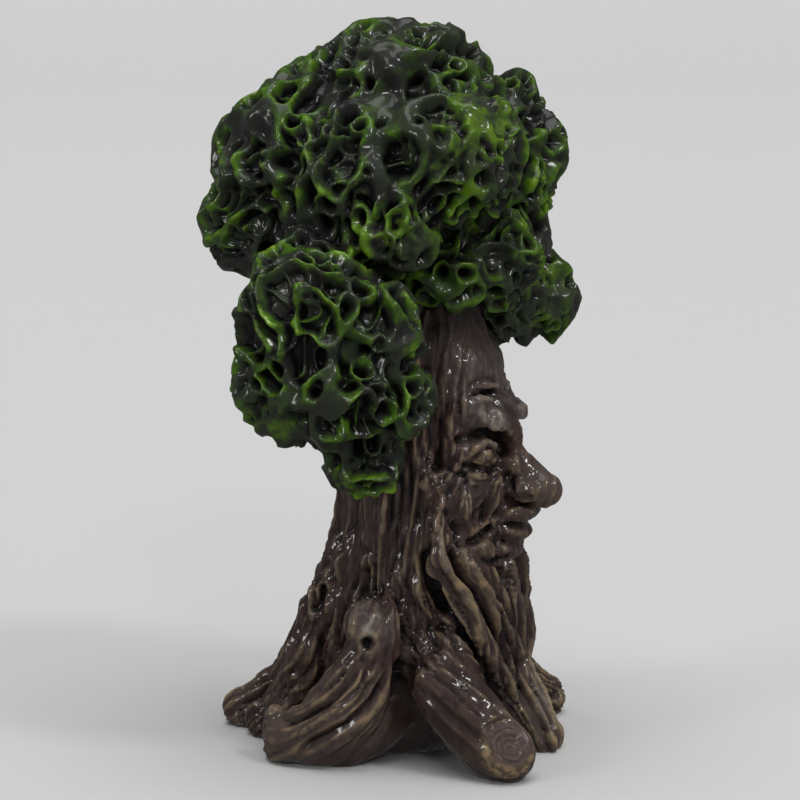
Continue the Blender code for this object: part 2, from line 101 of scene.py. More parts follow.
# The knee of the raised foot, and the bump on its toe
KNEES = (((-15.4, -1.0, 18.6), (3.4, 3.1, 4.8)), ((-15.2, 12.2, 6.0), (1.5, 1.6, 1.6)))
LIMB_ENDS = 0.98  # how much of the radius there the rounded end of a root or bough has

# The sawn end of the front right root: its middle, the way it faces, and how far round it the saw reaches
SAW_MIDDLE = (-17.4, -21.5, 4.9)
SAW_WAY = (-0.62, -0.50, 0.60)
SAW_REACH = 4.5

# Middle and half sizes of each mass of the face; the pairs are on the tree's right and mirrored
FACE_MIDDLE = {
    "head": ((0.0, -6.5, 42.0), (10.6, 9.3, 15.0)),
    "forehead": ((0.0, -6.6, 50.6), (8.6, 8.4, 7.2)),
    "glabella": ((0.0, -14.0, 46.2), (3.6, 3.2, 3.6)),
    "nose_root": ((0.0, -15.4, 43.6), (2.4, 2.4, 3.2)),
    "nose_ball": ((0.0, -20.7, 36.5), (2.5, 2.7, 2.5)),
    "muzzle": ((0.0, -14.2, 32.6), (5.6, 4.6, 3.8)),
    "lip_upper": ((0.0, -17.3, 33.2), (4.4, 2.6, 1.5)),
    "lip_lower": ((0.0, -16.6, 30.4), (3.4, 2.3, 1.4)),
    "chin": ((0.0, -15.4, 28.0), (4.4, 2.4, 1.9)),
    "beard": ((0.0, -12.6, 19.5), (8.6, 5.3, 11.5)),
}
FACE_PAIRS = {
    "brow": ((-5.0, -13.3, 46.7), (2.5, 3.8, 2.0)),
    "brow_root": ((-5.2, -11.6, 47.6), (3.6, 3.4, 3.2)),
    "nose_side": ((-1.8, -16.6, 38.4), (2.0, 2.4, 3.2)),
    "nostril_wing": ((-2.5, -18.9, 36.7), (1.7, 2.2, 1.6)),
    "eyeball": ((-5.6, -13.0, 42.0), (2.5, 2.3, 2.0)),
    "eye_bag": ((-6.4, -13.2, 39.0), (2.8, 2.1, 1.4)),
    "fold": ((-4.4, -13.4, 36.6), (2.6, 3.4, 4.0)),
    "cheek": ((-7.8, -10.8, 35.4), (3.4, 3.0, 4.2)),
    "jowl": ((-5.6, -13.4, 28.2), (2.7, 2.5, 2.1)),
}
NOSE_RIDGE = (
    (0.0, -14.4, 44.6, 1.8), (0.0, -16.3, 41.6, 1.6), (0.0, -18.6, 38.9, 1.9), (0.0, -20.1, 37.3, 2.2),
)

# Lines of the outermost, the middle and the innermost lock of the beard on the tree's right
LOCK_GUIDES = (
    (
        (-10.8, -10.4, 36.4), (-12.0, -10.2, 30.1), (-12.0, -11.5, 26.1),
        (-9.9, -13.8, 22.0), (-7.3, -15.0, 16.0), (-3.2, -17.6, 8.6),
    ),
    (
        (-9.6, -11.8, 30.4), (-9.6, -13.2, 26.8), (-8.2, -14.8, 22.8),
        (-6.4, -15.6, 18.0), (-4.2, -16.4, 13.0), (-1.6, -17.4, 8.0),
    ),
    (
        (-3.4, -16.4, 28.0), (-2.6, -17.0, 24.0), (-2.2, -17.2, 20.0),
        (-1.8, -17.2, 16.0), (-1.2, -17.2, 12.0), (-0.6, -17.0, 8.4),
    ),
)
LOCK_COUNT = 5
LOCK_RADII = (1.6, 2.2, 1.3)  # at the root, the middle and the tip of a lock
LOCK_SUNK = 0.35  # how far a lock lies back into the beard, in its own radii

# The table of random values behind the mottling, and the strides with which it is read
MOTTLE_VALUES = 8192
MOTTLE_STRIDES = (73, 1579, 2833)
FLOW_NEIGHBOURS = 6  # how many steps of the guides near it steer the grain at a point


def lump(shell, middle, half_sizes):
    """Adds an ellipsoid to the shell."""
    at = Matrix.LocRotScale(Vector(middle), None, Vector(half_sizes))
    bmesh.ops.create_icosphere(shell, subdivisions=4, radius=1, matrix=at)


def limb(shell, path):
    """Adds a tube with rounded ends that swells and tapers along its path."""
    curve = bpy.data.curves.new("limb", "CURVE")
    curve.dimensions = "3D"
    curve.bevel_depth = 1
    curve.bevel_resolution = 6
    curve.resolution_u = 8
    curve.use_fill_caps = True
    spline = curve.splines.new("NURBS")
    spline.points.add(len(path) - 1)
    spline.use_endpoint_u = True
    spline.order_u = 3
    for knot, point in zip(spline.points, path):
        knot.co = (*point[:3], 1)
        knot.radius = point[3]
    guide = bpy.data.objects.new("limb", curve)
    bpy.context.scene.collection.objects.link(guide)
    bpy.context.view_layer.update()
    tube = bpy.data.meshes.new_from_object(guide.evaluated_get(bpy.context.evaluated_depsgraph_get()))
    shell.from_mesh(tube)
    bpy.data.objects.remove(guide)
    for point in (path[0], path[-1]):
        lump(shell, point[:3], [point[3] * LIMB_ENDS] * 3)


def settled(mass):
    """The mass with its modifiers applied."""
    bpy.context.view_layer.update()
    mesh = bpy.data.meshes.new_from_object(mass.evaluated_get(bpy.context.evaluated_depsgraph_get()))
    mass.modifiers.clear()
    mass.data = mesh
    return mass


def one_skin(name, shell, grain, smoothing):
    """The shells run together into one skin that stands flat on the floor, with its creases softened."""
    for vert in shell.verts:
        vert.co.z = max(vert.co.z, 0)
    mesh = bpy.data.meshes.new(name)
    shell.to_mesh(mesh)
    shell.free()
    mass = bpy.data.objects.new(name, mesh)
    bpy.context.scene.collection.objects.link(mass)
    remesh = mass.modifiers.new("one skin", "REMESH")
    remesh.mode = "VOXEL"
    remesh.voxel_size = grain
    smooth = mass.modifiers.new("soften", "SMOOTH")
    smooth.iterations = smoothing
    smooth.factor = 0.5
    return settled(mass)


def mirrored(path):
    """The same path on the tree's other side."""
    return [(-x, *rest) for x, *rest in path]


def smooth_path(path, steps=8):
    """More points along a path, on a Catmull-Rom curve through its own."""
    knots = np.array([path[0], *path, path[-1]], float)
    found = []
    for a, b, c, d in zip(knots, knots[1:], knots[2:], knots[3:]):
        for t in np.arange(steps) / steps:
            found.append(0.5 * (2 * b + (c - a) * t + (2 * a - 5 * b + 4 * c - d) * t**2
                                + (3 * b - a - 3 * c + d) * t**3))
    return np.array([*found, knots[-1]])


def eased(value, low, high):
    """0 below low and 1 above high, with a smooth rise between them."""
    share = np.clip((value - low) / (high - low), 0, 1)
    return share * share * (3 - 2 * share)


def mottle(points, size, seed):
    """A smooth random value from 0 to 1 at each point, which changes over about that size."""
    table = np.random.default_rng(seed).random(MOTTLE_VALUES)
    grid = points / size
    cell = np.floor(grid).astype(int)
    part = grid - cell
    part = part * part * (3 - 2 * part)
    total = 0
    for corner in np.ndindex(2, 2, 2):
        share = np.prod(np.where(corner, part, 1 - part), axis=1)
        total = total + share * table[(cell + corner) @ MOTTLE_STRIDES % MOTTLE_VALUES]
    return total


class Clay:
    """The skin of a mass while it is worked: it is pushed in and out along its normals."""

    def __init__(self, mass):
        self.mass = mass
        count = len(mass.data.vertices)
        self.points = np.empty(count * 3, np.float32)
        mass.data.vertices.foreach_get("co", self.points)
        self.points = self.points.reshape(-1, 3).astype(float)
        self.normals = np.empty(count * 3, np.float32)
        mass.data.vertex_normals.foreach_get("vector", self.normals)
        self.normals = self.normals.reshape(-1, 3).astype(float)
        faces = np.empty(len(mass.data.loops), np.int32)
        mass.data.loops.foreach_get("vertex_index", faces)
        self.skin = BVHTree.FromPolygons(self.points.tolist(), faces.reshape(-1, 4).tolist())
        ends = np.empty(len(mass.data.edges) * 2, np.int32)
        mass.data.edges.foreach_get("vertices", ends)
        self.ends = ends.reshape(-1, 2)
        self.layers = {}

    def lift(self, amount):
        """Moves each point out along its normal by its own amount."""
        self.points += self.normals * amount[:, None]

    def laid(self, path):
        """The path smoothed and laid on the skin."""
        return np.array([self.skin.find_nearest(Vector(point))[0] for point in smooth_path(path)])

    def along(self, path, width):
        """How strongly each point lies on a path, fading to its sides and its ends."""
        laid = self.laid(path)
        inside = (self.points > laid.min(0) - width) & (self.points < laid.max(0) + width)
        near = np.flatnonzero(np.all(inside, axis=1))
        points = self.points[near]
        nearest = np.full(len(points), np.inf)
        place = np.zeros(len(points))
        for step, (start, end) in enumerate(zip(laid, laid[1:])):
            way = end - start
            share = np.clip((points - start) @ way / max(way @ way, 1e-12), 0, 1)
            distance = np.linalg.norm(points - start - share[:, None] * way, axis=1)
            closer = distance < nearest
            nearest[closer] = distance[closer]
            place[closer] = (step + share[closer]) / (len(laid) - 1)
        strength = np.clip(1 - (nearest / width) ** 2, 0, 1) ** 2
        strength *= np.clip(6 * np.minimum(place, 1 - place) + 0.2, 0, 1)
        return near, strength

    def stroke(self, path, width, lift):
        """Raises the skin by lift along a path laid on it, or presses it in."""
        near, strength = self.along(path, width)
        self.points[near] += self.normals[near] * (strength * lift)[:, None]

    def around(self, middle, radius):
        """How near each point is to a spot, from 1 in its middle to 0 at its radius."""
        distance = np.linalg.norm(self.points - middle, axis=1) / radius
        return np.clip(1 - distance**2, 0, 1) ** 2

    def saw(self, middle, way, reach):
        """Flattens what stands out past a plane, within reach of its middle."""
        way = np.array(way) / np.linalg.norm(way)
        proud = (self.points - middle) @ way
        near = (np.linalg.norm(self.points - middle, axis=1) < reach) & (proud > 0)
        self.points[near] -= proud[near, None] * way

    def averaged(self, values, rounds):
        """Values at the points, each run together with its neighbours'."""
        count = len(self.points)
        degree = np.bincount(self.ends.ravel(), minlength=count)[:, None]
        for _ in range(rounds):
            columns = []
            for column in values.T:
                columns.append(np.bincount(self.ends[:, 0], column[self.ends[:, 1]], count)
                               + np.bincount(self.ends[:, 1], column[self.ends[:, 0]], count))
            values = (values + np.stack(columns, axis=1) / degree) / 2
        return values

    def soften(self, spots, rounds):
        """Smooths the skin round each of the spots, given as middle, radius and share."""
        smooth = self.averaged(self.points, rounds)
        for middle, radius, share in spots:
            self.points += (smooth - self.points) * (share * self.around(middle, radius) ** 0.4)[:, None]

    def flow(self, guides):
        """The way that the grain runs at each point, blended from the guides near it."""
        spots = []
        ways = []
        for guide in guides:
            laid = self.laid(guide)
            steps = np.diff(laid, axis=0)
            spots.extend((laid[1:] + laid[:-1]) / 2)
            ways.extend(steps / np.maximum(np.linalg.norm(steps, axis=1), 1e-6)[:, None])
        tree = KDTree(len(spots))
        for index, spot in enumerate(spots):
            tree.insert(spot, index)
        tree.balance()
        found = np.array([
            [(index, distance) for _, index, distance in tree.find_n(point, FLOW_NEIGHBOURS)]
            for point in self.points
        ])
        share = 1 / (found[:, :, 1] ** 2 + 0.5) ** 1.5
        way = (np.array(ways)[found[:, :, 0].astype(int)] * share[:, :, None]).sum(axis=1)
        way -= self.normals * (way * self.normals).sum(axis=1)[:, None]
        return way / np.maximum(np.linalg.norm(way, axis=1), 1e-6)[:, None]

    def strands(self, flow, width, length, seed):
        """Random ribs of about that width and length that run with the flow: 0 in grooves, more on top."""
        low = self.points.min(0) - 1
        cell = 0.5
        shape = np.ceil((self.points.max(0) + 1 - low) / cell).astype(int) + 1
        nearest = np.full(shape, -1)
        nearest[tuple(((self.points - low) / cell).astype(int).T)] = np.arange(len(self.points))
        for axis in (0, 1, 2, 0, 1, 2):
            for shift in (1, -1):
                moved = np.roll(nearest, shift, axis)
                nearest = np.where(nearest < 0, moved, nearest)
        total = mottle(self.points, width, seed)
        steps = max(int(length / width * 2), 2)
        for sign in (1, -1):
            here = np.arange(len(self.points))
            spot = self.points.copy()
            for _ in range(steps):
                spot = spot + flow[here] * (sign * width / 2)
                index = tuple(np.clip(((spot - low) / cell).astype(int), 0, shape - 1).T)
                here = np.where(nearest[index] < 0, here, nearest[index])
                total = total + mottle(spot, width, seed)
        return np.abs(total - total.mean()) / total.std()

    def ribs(self, flow, width, length, fullness, seed):
        """The same ribs with rounded tops, given as a height above or below their own mean."""
        height = 1 - np.exp(-fullness * self.strands(flow, width, length, seed))
        return height - height.mean()

    def finish(self, triangles, hollow_rounds):
        """Writes the worked skin back at its real size, with Height, how far each point stands out of its
        surroundings, and the painted layers."""
        mesh = self.mass.data
        self.points[:, 2] = np.maximum(self.points[:, 2], 0)
        smooth = self.averaged(self.points, hollow_rounds)
        self.layers["Height"] = ((self.points - smooth) * self.normals).sum(axis=1)
        mesh.vertices.foreach_set("co", self.points.astype(np.float32).ravel())
        for name, values in self.layers.items():
            layer = mesh.attributes.new(name, "FLOAT", "POINT")
            layer.data.foreach_set("value", values.astype(np.float32))
        mesh.calc_loop_triangles()
        thin = self.mass.modifiers.new("thin", "DECIMATE")
        thin.ratio = min(triangles / len(mesh.loop_triangles), 1)
        settled(self.mass)
        self.mass.data.transform(Matrix.Scale(MM, 4) @ Matrix.Translation((*STANCE, 0)))
        self.mass.data.shade_smooth()


def lock_path(number):
    """The line of one lock, between the guides."""
    place_in_row = (len(LOCK_GUIDES) - 1) * number / (LOCK_COUNT - 1)
    guide = min(max(int(place_in_row), 0), len(LOCK_GUIDES) - 2)
    share = place_in_row - guide
    return (1 - share) * np.array(LOCK_GUIDES[guide]) + share * np.array(LOCK_GUIDES[guide + 1])


def trunk_ring(height, turns):
    """Points round the trunk's oval at a height, at those turns in radians."""
    heights, behind, half_widths, half_depths = np.array(TRUNK_SECTIONS).T
    half_width = np.interp(height, heights, half_widths)
    half_depth = np.interp(height, heights, half_depths)
    middle = np.interp(height, heights, behind)
    return [(half_width * math.cos(turn), middle + half_depth * math.sin(turn), height) for turn in turns]


shell = bmesh.new()
turns = [math.tau * side / TRUNK_SIDES for side in range(TRUNK_SIDES)]
rings = [[shell.verts.new(point) for point in trunk_ring(section[0], turns)] for section in TRUNK_SECTIONS]
for lower, upper in zip(rings, rings[1:]):
    for side in range(TRUNK_SIDES):
        after = (side + 1) % TRUNK_SIDES
        shell.faces.new((lower[side], lower[after], upper[after], upper[side]))
shell.faces.new(reversed(rings[0]))
shell.faces.new(rings[-1])
for path in (*ROOTS.values(), *BOUGHS.values(), NOSE_RIDGE):
    limb(shell, path)
for middle, half_sizes in (*KNEES, *FACE_MIDDLE.values(), *FACE_PAIRS.values()):
    lump(shell, middle, half_sizes)
for (x, y, z), half_sizes in FACE_PAIRS.values():
    lump(shell, (-x, y, z), half_sizes)
for number in range(LOCK_COUNT):
    path = lock_path(number)
    radii = np.interp(np.linspace(0, 1, len(path)), (0, 0.5, 1), LOCK_RADII)
    for side in (1, -1):
        limb(shell, [(side * x, y + LOCK_SUNK * r, z, r) for (x, y, z), r in zip(path, radii)])
trunk = one_skin("trunk", shell, TRUNK_GRAIN, 5)
clay = Clay(trunk)

# Strokes of the carving: the path, how far it reaches to each side, and how far it lifts the skin.
# Those of the face and the beard are on the tree's right, and repeated on its left.
# Face: the lines over the brow, the brow, the lids, the bags, the cheek, the nostril, the lips and the chin
FACE_STROKES = (
    (((-7.0, -12.1, 50.3), (-5.0, -13.9, 50.9), (-3.4, -14.8, 50.8), (-1.5, -15.5, 50.5)), 0.8, 0.5),
    (((-6.6, -12.8, 49.1), (-5.4, -14.4, 49.3), (-2.8, -15.3, 49.3)), 0.8, 0.5),
    (((-7.0, -12.0, 50.4), (-6.7, -12.3, 51.3), (-5.0, -13.9, 52.1), (-2.9, -15.0, 51.5),
      (-1.5, -15.6, 50.3)), 0.6, -0.3),
    (((-7.0, -13.3, 48.2), (-7.8, -14.9, 47.0), (-7.4, -16.2, 45.6), (-5.4, -16.8, 44.9),
      (-1.6, -17.0, 44.6)), 1.3, 0.5),
    (((-9.4, -11.2, 43.9), (-7.6, -13.2, 44.6), (-5.4, -14.9, 44.6), (-2.1, -16.4, 43.8)), 1.2, -1.1),
    (((-9.0, -11.3, 41.0), (-8.3, -12.4, 41.9), (-7.4, -13.8, 43.1), (-5.6, -14.4, 43.7),
      (-3.8, -15.0, 43.0), (-3.2, -15.3, 41.8)), 1.1, 0.55),
    (((-7.9, -13.0, 41.6), (-6.9, -14.5, 42.9), (-5.2, -14.8, 42.9), (-4.0, -15.1, 41.6)), 0.6, -0.9),
    (((-7.7, -13.3, 41.0), (-6.4, -14.5, 40.6), (-5.0, -14.8, 40.7), (-3.6, -15.3, 41.1)), 0.6, 0.4),
    (((-7.8, -12.8, 40.4), (-6.6, -14.6, 39.8), (-5.0, -15.1, 39.8), (-3.8, -15.4, 40.0)), 0.6, -0.8),
    (((-9.0, -13.0, 39.2), (-7.4, -14.6, 38.5), (-5.8, -15.4, 38.5), (-4.7, -15.8, 39.1)), 0.6, -0.7),
    (((-9.4, -10.8, 41.8), (-8.7, -11.7, 41.2), (-8.0, -12.6, 40.6)), 0.5, -0.35),
    (((-9.6, -10.3, 40.2), (-8.9, -11.3, 39.6), (-8.4, -12.6, 39.7)), 0.5, -0.35),
    (((-3.5, -17.0, 39.8), (-3.9, -16.7, 38.4), (-4.9, -16.7, 36.6), (-4.9, -16.4, 34.8),
      (-5.4, -15.5, 33.0)), 1.0, -0.9),
    (((-4.9, -15.7, 39.2), (-5.9, -15.9, 37.0), (-6.0, -15.6, 35.0), (-6.4, -14.9, 33.2)), 1.4, 0.2),
    (((-9.1, -12.6, 38.9), (-10.3, -12.3, 37.2), (-10.9, -12.1, 35.4), (-11.1, -11.8, 33.5),
      (-11.4, -12.1, 31.7)), 0.8, -0.8),
    (((-11.3, -12.2, 31.3), (-8.8, -12.8, 30.4), (-7.3, -13.8, 30.7), (-5.8, -14.6, 31.5),
      (-5.3, -15.3, 32.1)), 0.9, -0.9),
    (((-3.4, -17.9, 39.0), (-3.7, -17.4, 37.9), (-3.8, -17.5, 36.7), (-3.4, -18.4, 35.6)), 0.7, -0.7),
    (((-4.0, -18.9, 36.0), (-3.6, -19.6, 35.8), (-3.0, -20.3, 35.9)), 0.9, -0.7),
    (((-4.3, -16.8, 33.5), (-3.3, -17.6, 33.9), (-2.2, -18.8, 33.7), (-1.0, -19.8, 33.0)), 0.7, 0.3),
    (((-3.7, -17.2, 31.2), (-2.3, -18.2, 30.7), (-0.8, -19.0, 30.5)), 0.9, 0.3),
    (((-8.0, -14.3, 28.3), (-7.1, -15.4, 27.5), (-4.8, -16.4, 27.4), (-3.1, -17.3, 27.9)), 0.9, -0.6),
    (((-8.9, -11.4, 40.1), (-9.6, -10.3, 39.4), (-10.3, -9.1, 39.2), (-11.1, -7.7, 38.7),
      (-11.5, -6.7, 37.9)), 1.1, 0.7),
)

# The open slit over the brow
SLIT = ((-6.6, -12.4, 49.7), (-5.6, -13.2, 49.7), (-4.5, -14.0, 49.9), (-3.2, -14.7, 49.8),
        (-2.3, -15.4, 49.9))
SLIT_WIDTH = 0.85
SLIT_DEPTH = 1.5

# The mouth, the groove under the nose and the frown between the brows
MIDDLE_STROKES = (
    (((-5.4, -15.3, 32.3), (-4.1, -17.3, 32.0), (-2.0, -18.6, 31.7), (0, -19.0, 31.7),
      (2.0, -18.6, 31.7), (4.1, -17.3, 32.0), (5.4, -15.3, 32.3)), 0.7, -0.7),
    (((0, -19.0, 36.0), (0, -19.4, 33.6)), 0.9, -0.4),
    (((-2.4, -17.4, 47.6), (0, -17.6, 46.2), (2.4, -17.4, 47.6)), 0.6, -0.4),
)

# Grooves and crests of the beard and its locks, from the outermost inward
LOCK_STROKES = (
    (((-13.0, -8.5, 31.2), (-12.2, -7.7, 28.3), (-12.0, -8.4, 25.2), (-11.3, -10.0, 22.3),
      (-10.4, -11.8, 19.7), (-9.4, -13.1, 17.1), (-8.6, -13.7, 14.9), (-7.0, -13.8, 12.8)), 1.1, -1.0),
    (((-12.0, -10.7, 36.6), (-12.9, -10.2, 34.0), (-13.5, -10.1, 30.8), (-13.6, -11.3, 28.0),
      (-12.8, -12.8, 25.4), (-11.7, -14.0, 22.9), (-10.5, -14.8, 20.3), (-9.5, -14.9, 17.3),
      (-8.1, -14.4, 14.5)), 1.2, 0.8),
    (((-11.6, -12.0, 31.2), (-12.2, -12.1, 29.1), (-11.9, -13.0, 27.0), (-10.8, -14.3, 24.7),
      (-9.6, -15.3, 22.3), (-8.5, -16.0, 19.6), (-6.5, -16.9, 16.5), (-3.7, -17.6, 13.1)), 1.0, -1.1),
    (((-10.1, -13.0, 30.2), (-10.6, -13.4, 28.4), (-9.9, -14.7, 25.9), (-8.0, -16.0, 23.0),
      (-6.1, -17.0, 19.7), (-4.0, -17.7, 16.3), (-2.1, -18.1, 13.1)), 1.1, 0.8),
    (((-6.6, -14.8, 26.8), (-6.4, -16.4, 24.3), (-6.1, -17.0, 21.5), (-5.2, -17.4, 18.6),
      (-3.4, -17.8, 15.4)), 1.0, -1.0),
    (((-3.4, -17.0, 27.0), (-3.6, -17.6, 24.0), (-3.9, -17.6, 21.0), (-3.6, -17.8, 18.0),
      (-2.6, -18.0, 14.6)), 1.0, 0.6),
    (((-1.6, -17.4, 26.6), (-1.8, -17.8, 23.0), (-2.0, -17.8, 19.5), (-1.6, -18.0, 16.0),
      (-0.8, -17.8, 12.0)), 0.9, -0.9),
    (((-12.2, -7.2, 28.3), (-12.5, -7.0, 24.9), (-12.3, -7.8, 21.8), (-11.8, -9.5, 19.1),
      (-12.3, -11.2, 16.7)), 1.2, 0.7),
    (((-7.2, -15.6, 20.6), (-5.6, -16.8, 16.6), (-4.2, -17.2, 12.8)), 0.6, -0.6),
    (((-10.0, -14.4, 22.4), (-8.8, -15.6, 18.2), (-7.4, -15.6, 15.0)), 0.6, -0.6),
)

# The eye of the burl with the ring round it, and the valleys behind and before the foot
HOLLOW_STROKES = (
    (((-9.4, 7.4, 23.5), (-10.0, 7.6, 21.4), (-10.0, 8.4, 19.7)), 1.0, -1.0),
    (((-9.6, 7.6, 24.4), (-10.0, 6.0, 22.6), (-10.3, 6.0, 20.6), (-10.4, 7.2, 18.7), (-10.4, 9.0, 20.1),
      (-10.0, 9.0, 22.4), (-9.6, 7.6, 24.4)), 0.9, 0.2),
    (((-12.9, 1.0, 28), (-13.8, 2.0, 22.6), (-14.6, 4.4, 17), (-14.4, 7.0, 12.0),
      (-12.6, 11.0, 7.0)), 2.4, -2.2),
    (((-13.4, -4.6, 25), (-14.2, -6.4, 18.4), (-13.5, -7.1, 13.8)), 1.9, -1.5),
)

# Crests and grooves along the foot and the sawn root
FOOT_STROKES = (
    (((-19.0, 0.4, 15.6), (-19.2, 3.0, 12.3), (-18.1, 6.7, 9.2), (-16.3, 10.5, 7.0)), 0.9, 0.5),
    (((-18.6, -1.2, 15.4), (-19.4, 0.8, 11.8), (-19.2, 4.0, 8.8), (-18.0, 7.6, 6.4),
      (-16.4, 10.4, 5.0)), 1.0, -0.9),
    (((-18.2, -3.0, 14.7), (-19.3, -1.2, 11.8), (-20.0, 1.4, 9.3), (-19.8, 4.6, 6.9),
      (-18.8, 7.8, 4.5)), 0.9, 0.5),
    (((-17.4, -3.8, 13.8), (-18.6, -2.4, 10.4), (-19.6, 0.4, 7.6), (-19.4, 4.0, 5.2),
      (-18.4, 7.4, 3.2)), 1.0, -0.9),
    (((-16.4, -4.8, 14.0), (-17.4, -3.8, 10.6), (-18.5, -2.0, 7.6), (-19.2, 0.6, 5.2),
      (-19.0, 3.6, 3.0)), 0.9, 0.5),
    (((-15.4, -5.4, 13.0), (-16.2, -4.6, 9.0), (-17.0, -3.0, 5.6), (-17.6, -0.8, 3.2)), 1.0, -0.8),
    (((-15.5, -10.6, 14.6), (-15.7, -13.9, 12.9), (-15.4, -17.2, 10.7), (-14.7, -20.5, 8.3)), 0.8, 0.5),
    (((-16.6, -9.3, 11.7), (-17.5, -12.4, 9.5), (-18.1, -15.3, 7.4), (-18.6, -18.2, 5.6)), 1.0, -0.5),
    (((-16.0, -8.4, 9.5), (-16.6, -11.1, 6.7), (-17.2, -14.1, 4.4), (-17.6, -16.6, 2.5)), 0.8, 0.3),
)

# Fine grooves that fan down the cheek, between a front one and a back one
CHEEK_FRONT = ((-5.2, -15.8, 38.0), (-6.0, -15.2, 35.2), (-6.6, -14.6, 32.4))
CHEEK_BACK = ((-9.6, -12.8, 38.3), (-9.8, -12.6, 35.2), (-9.0, -12.6, 31.8))
CHEEK_LINES = 8
CHEEK_LINE_WIDTH = 0.5
CHEEK_LINE_DEPTH = 0.5

# Swellings and hollows: the middle, how far it reaches, and how far it lifts the skin or presses it in.
# The first are the eyeball, the inner corner of the eye and the bump beside the chin, on the tree's right.
FACE_SWELLINGS = (
    ((-6.6, -14.4, 42.0), 1.5, 0.5), ((-2.4, -15.8, 42.6), 2.0, -1.3), ((-6.4, -14.9, 29.4), 2.2, 0.5),
)
KNEE_TOP = ((-18.2, -2.2, 19.8), 5.4, 0.9)
KNEE_EYE = ((-18.9, -2.0, 18.2), 1.25, -1.9)
KNEE_EYE_WALL = 0.7  # under 1, so that the hole in the knee has steep sides

# Places where the forms as run together lie a little too far out or in: the flank, the back root, the hollow
# before the foot, the temples, the brows, the cheeks, the skin under the foliage and the forehead
PRESSED = (
    ((-5, 13.5, 18), 7.5, -1.2), ((-6, 14, 11), 6, -1.2), ((-7, 22, 4), 6, -0.7),
    ((-12, -6.5, 8), 4.5, -0.8), ((-13.5, -5.5, 13), 3.5, -0.8), ((-10.8, -9.6, 38.3), 3.0, 0.9),
    ((10.8, -9.6, 38.3), 3.0, 0.9), ((4.6, -15.6, 49.4), 3.0, -1.0), ((-8.0, -14.6, 46.6), 3.0, -0.5),
    ((-6.8, -14.4, 37.4), 2.4, 0.5), ((6.8, -14.4, 37.4), 2.4, 0.5), ((-4, -12, 60), 6.5, -1.2),
    ((4, -12, 60), 6.5, -1.2), ((-5.5, -12.5, 53.5), 4.5, 0.7), ((5.5, -12.5, 53.5), 4.5, 0.7),
)

# Places worked smooth again, and how fully: the hollows round the foot, the temples, the brow, the cheeks
SMOOTHED = (
    ((-11.5, -7.0, 9.0), 6.0, 1.0), ((-10.8, -9.6, 38.3), 3.2, 0.9), ((10.8, -9.6, 38.3), 3.2, 0.9),
    ((-14.5, -4.5, 13.5), 3.0, 0.8), ((-15, 13.5, 4), 3.5, 0.6), ((-5.2, -12.6, 48.0), 3.0, 0.6),
    ((-6.8, -14.4, 37.4), 2.8, 0.9), ((6.8, -14.4, 37.4), 2.8, 0.9),
)
SMOOTHING_ROUNDS = 60

# Grooves along the roots: how far round from the top of the root each one lies, in degrees
GROOVED_ROOTS = ("left_front", "left_front_fork", "left", "left_back", "back", "back_fork", "front")
GROOVE_TURNS = (-65, -20, 25, 70)
GROOVE_WIDTH = 1.2
GROOVE_DEPTH = 0.8

# Flutes that run down the back and the sides of the trunk, between two turns in degrees, with a slow sway
FLUTE_COUNT = 9
FLUTE_TURNS = (-30.0, 210.0)
FLUTE_HEIGHTS = range(9, 62, 4)
FLUTE_SWAY = 0.10
FLUTE_SWAY_LENGTH = 7
FLUTE_WIDTH = 2.4
FLUTE_DEPTH = 1.4

# Where the grain runs straight down the trunk: the turns in degrees, and the heights from the top down
GRAIN_TURNS = range(-60, 121, 15)
GRAIN_HEIGHTS = range(62, 9, -4)

# Lines that the grain flows along on the tree's right: the bark, the hair and the cheek, and the sawn root
BARK_FLOW = (
    ((-8.6, 4.6, 34.4), (-8.6, 5.6, 29.5), (-9.0, 7.2, 25.3), (-10.6, 6.1, 21.6), (-10.7, 6.6, 17.4),
     (-9.6, 10.0, 12.0), (-10.4, 12.9, 7.7)),
    ((-11.2, 0.9, 35.8), (-11.6, 1.2, 30.4), (-11.8, 2.5, 25.5), (-11.9, 3.9, 21.3), (-11.4, 5.6, 16.9),
     (-8.8, 9.1, 11.9), (-10.1, 11.8, 8.5)),
    ((-12.1, -3.0, 36.2), (-12.6, -2.8, 30.1), (-13.1, -2.4, 24.7), (-15.9, -2.5, 22.6)),
    ((-11.8, -5.7, 37.6), (-12.5, -5.2, 30.9), (-13.0, -4.9, 24.2), (-14.7, -5.9, 19.2),
     (-15.2, -7.0, 14.6)),
    ((-10.1, -7.9, 49.6), (-10.7, -7.4, 44.3), (-11.4, -7.2, 37.6), (-12.2, -6.6, 31.0),
     (-12.8, -6.0, 24.2), (-13.4, -7.3, 18.3), (-15.5, -11.0, 14.6), (-16.5, -14.8, 11.4),
     (-17.3, -18.5, 8.3)),
)
FACE_FLOW = (
    ((-7.9, -10.3, 53.2), (-8.7, -10.2, 50.2), (-9.0, -10.1, 47.5), (-9.8, -9.6, 44.3),
     (-10.1, -9.3, 41.3)),
    ((-9.2, -9.0, 51.5), (-9.7, -8.9, 48.3), (-10.1, -8.5, 44.9), (-10.6, -8.1, 41.6)),
    ((-8.6, -13.4, 38.2), (-9.4, -13.2, 35.6), (-9.6, -12.8, 33.2), (-9.0, -12.6, 31.4)),
    ((-6.6, -15.0, 37.6), (-7.6, -14.6, 35.4), (-8.0, -13.8, 33.0), (-8.0, -13.2, 31.4)),
)
SAWN_FLOW = ((-16.0, -9.3, 12.7), (-17.3, -12.4, 10.0), (-17.6, -15.3, 7.8), (-17.6, -18.2, 6.0))

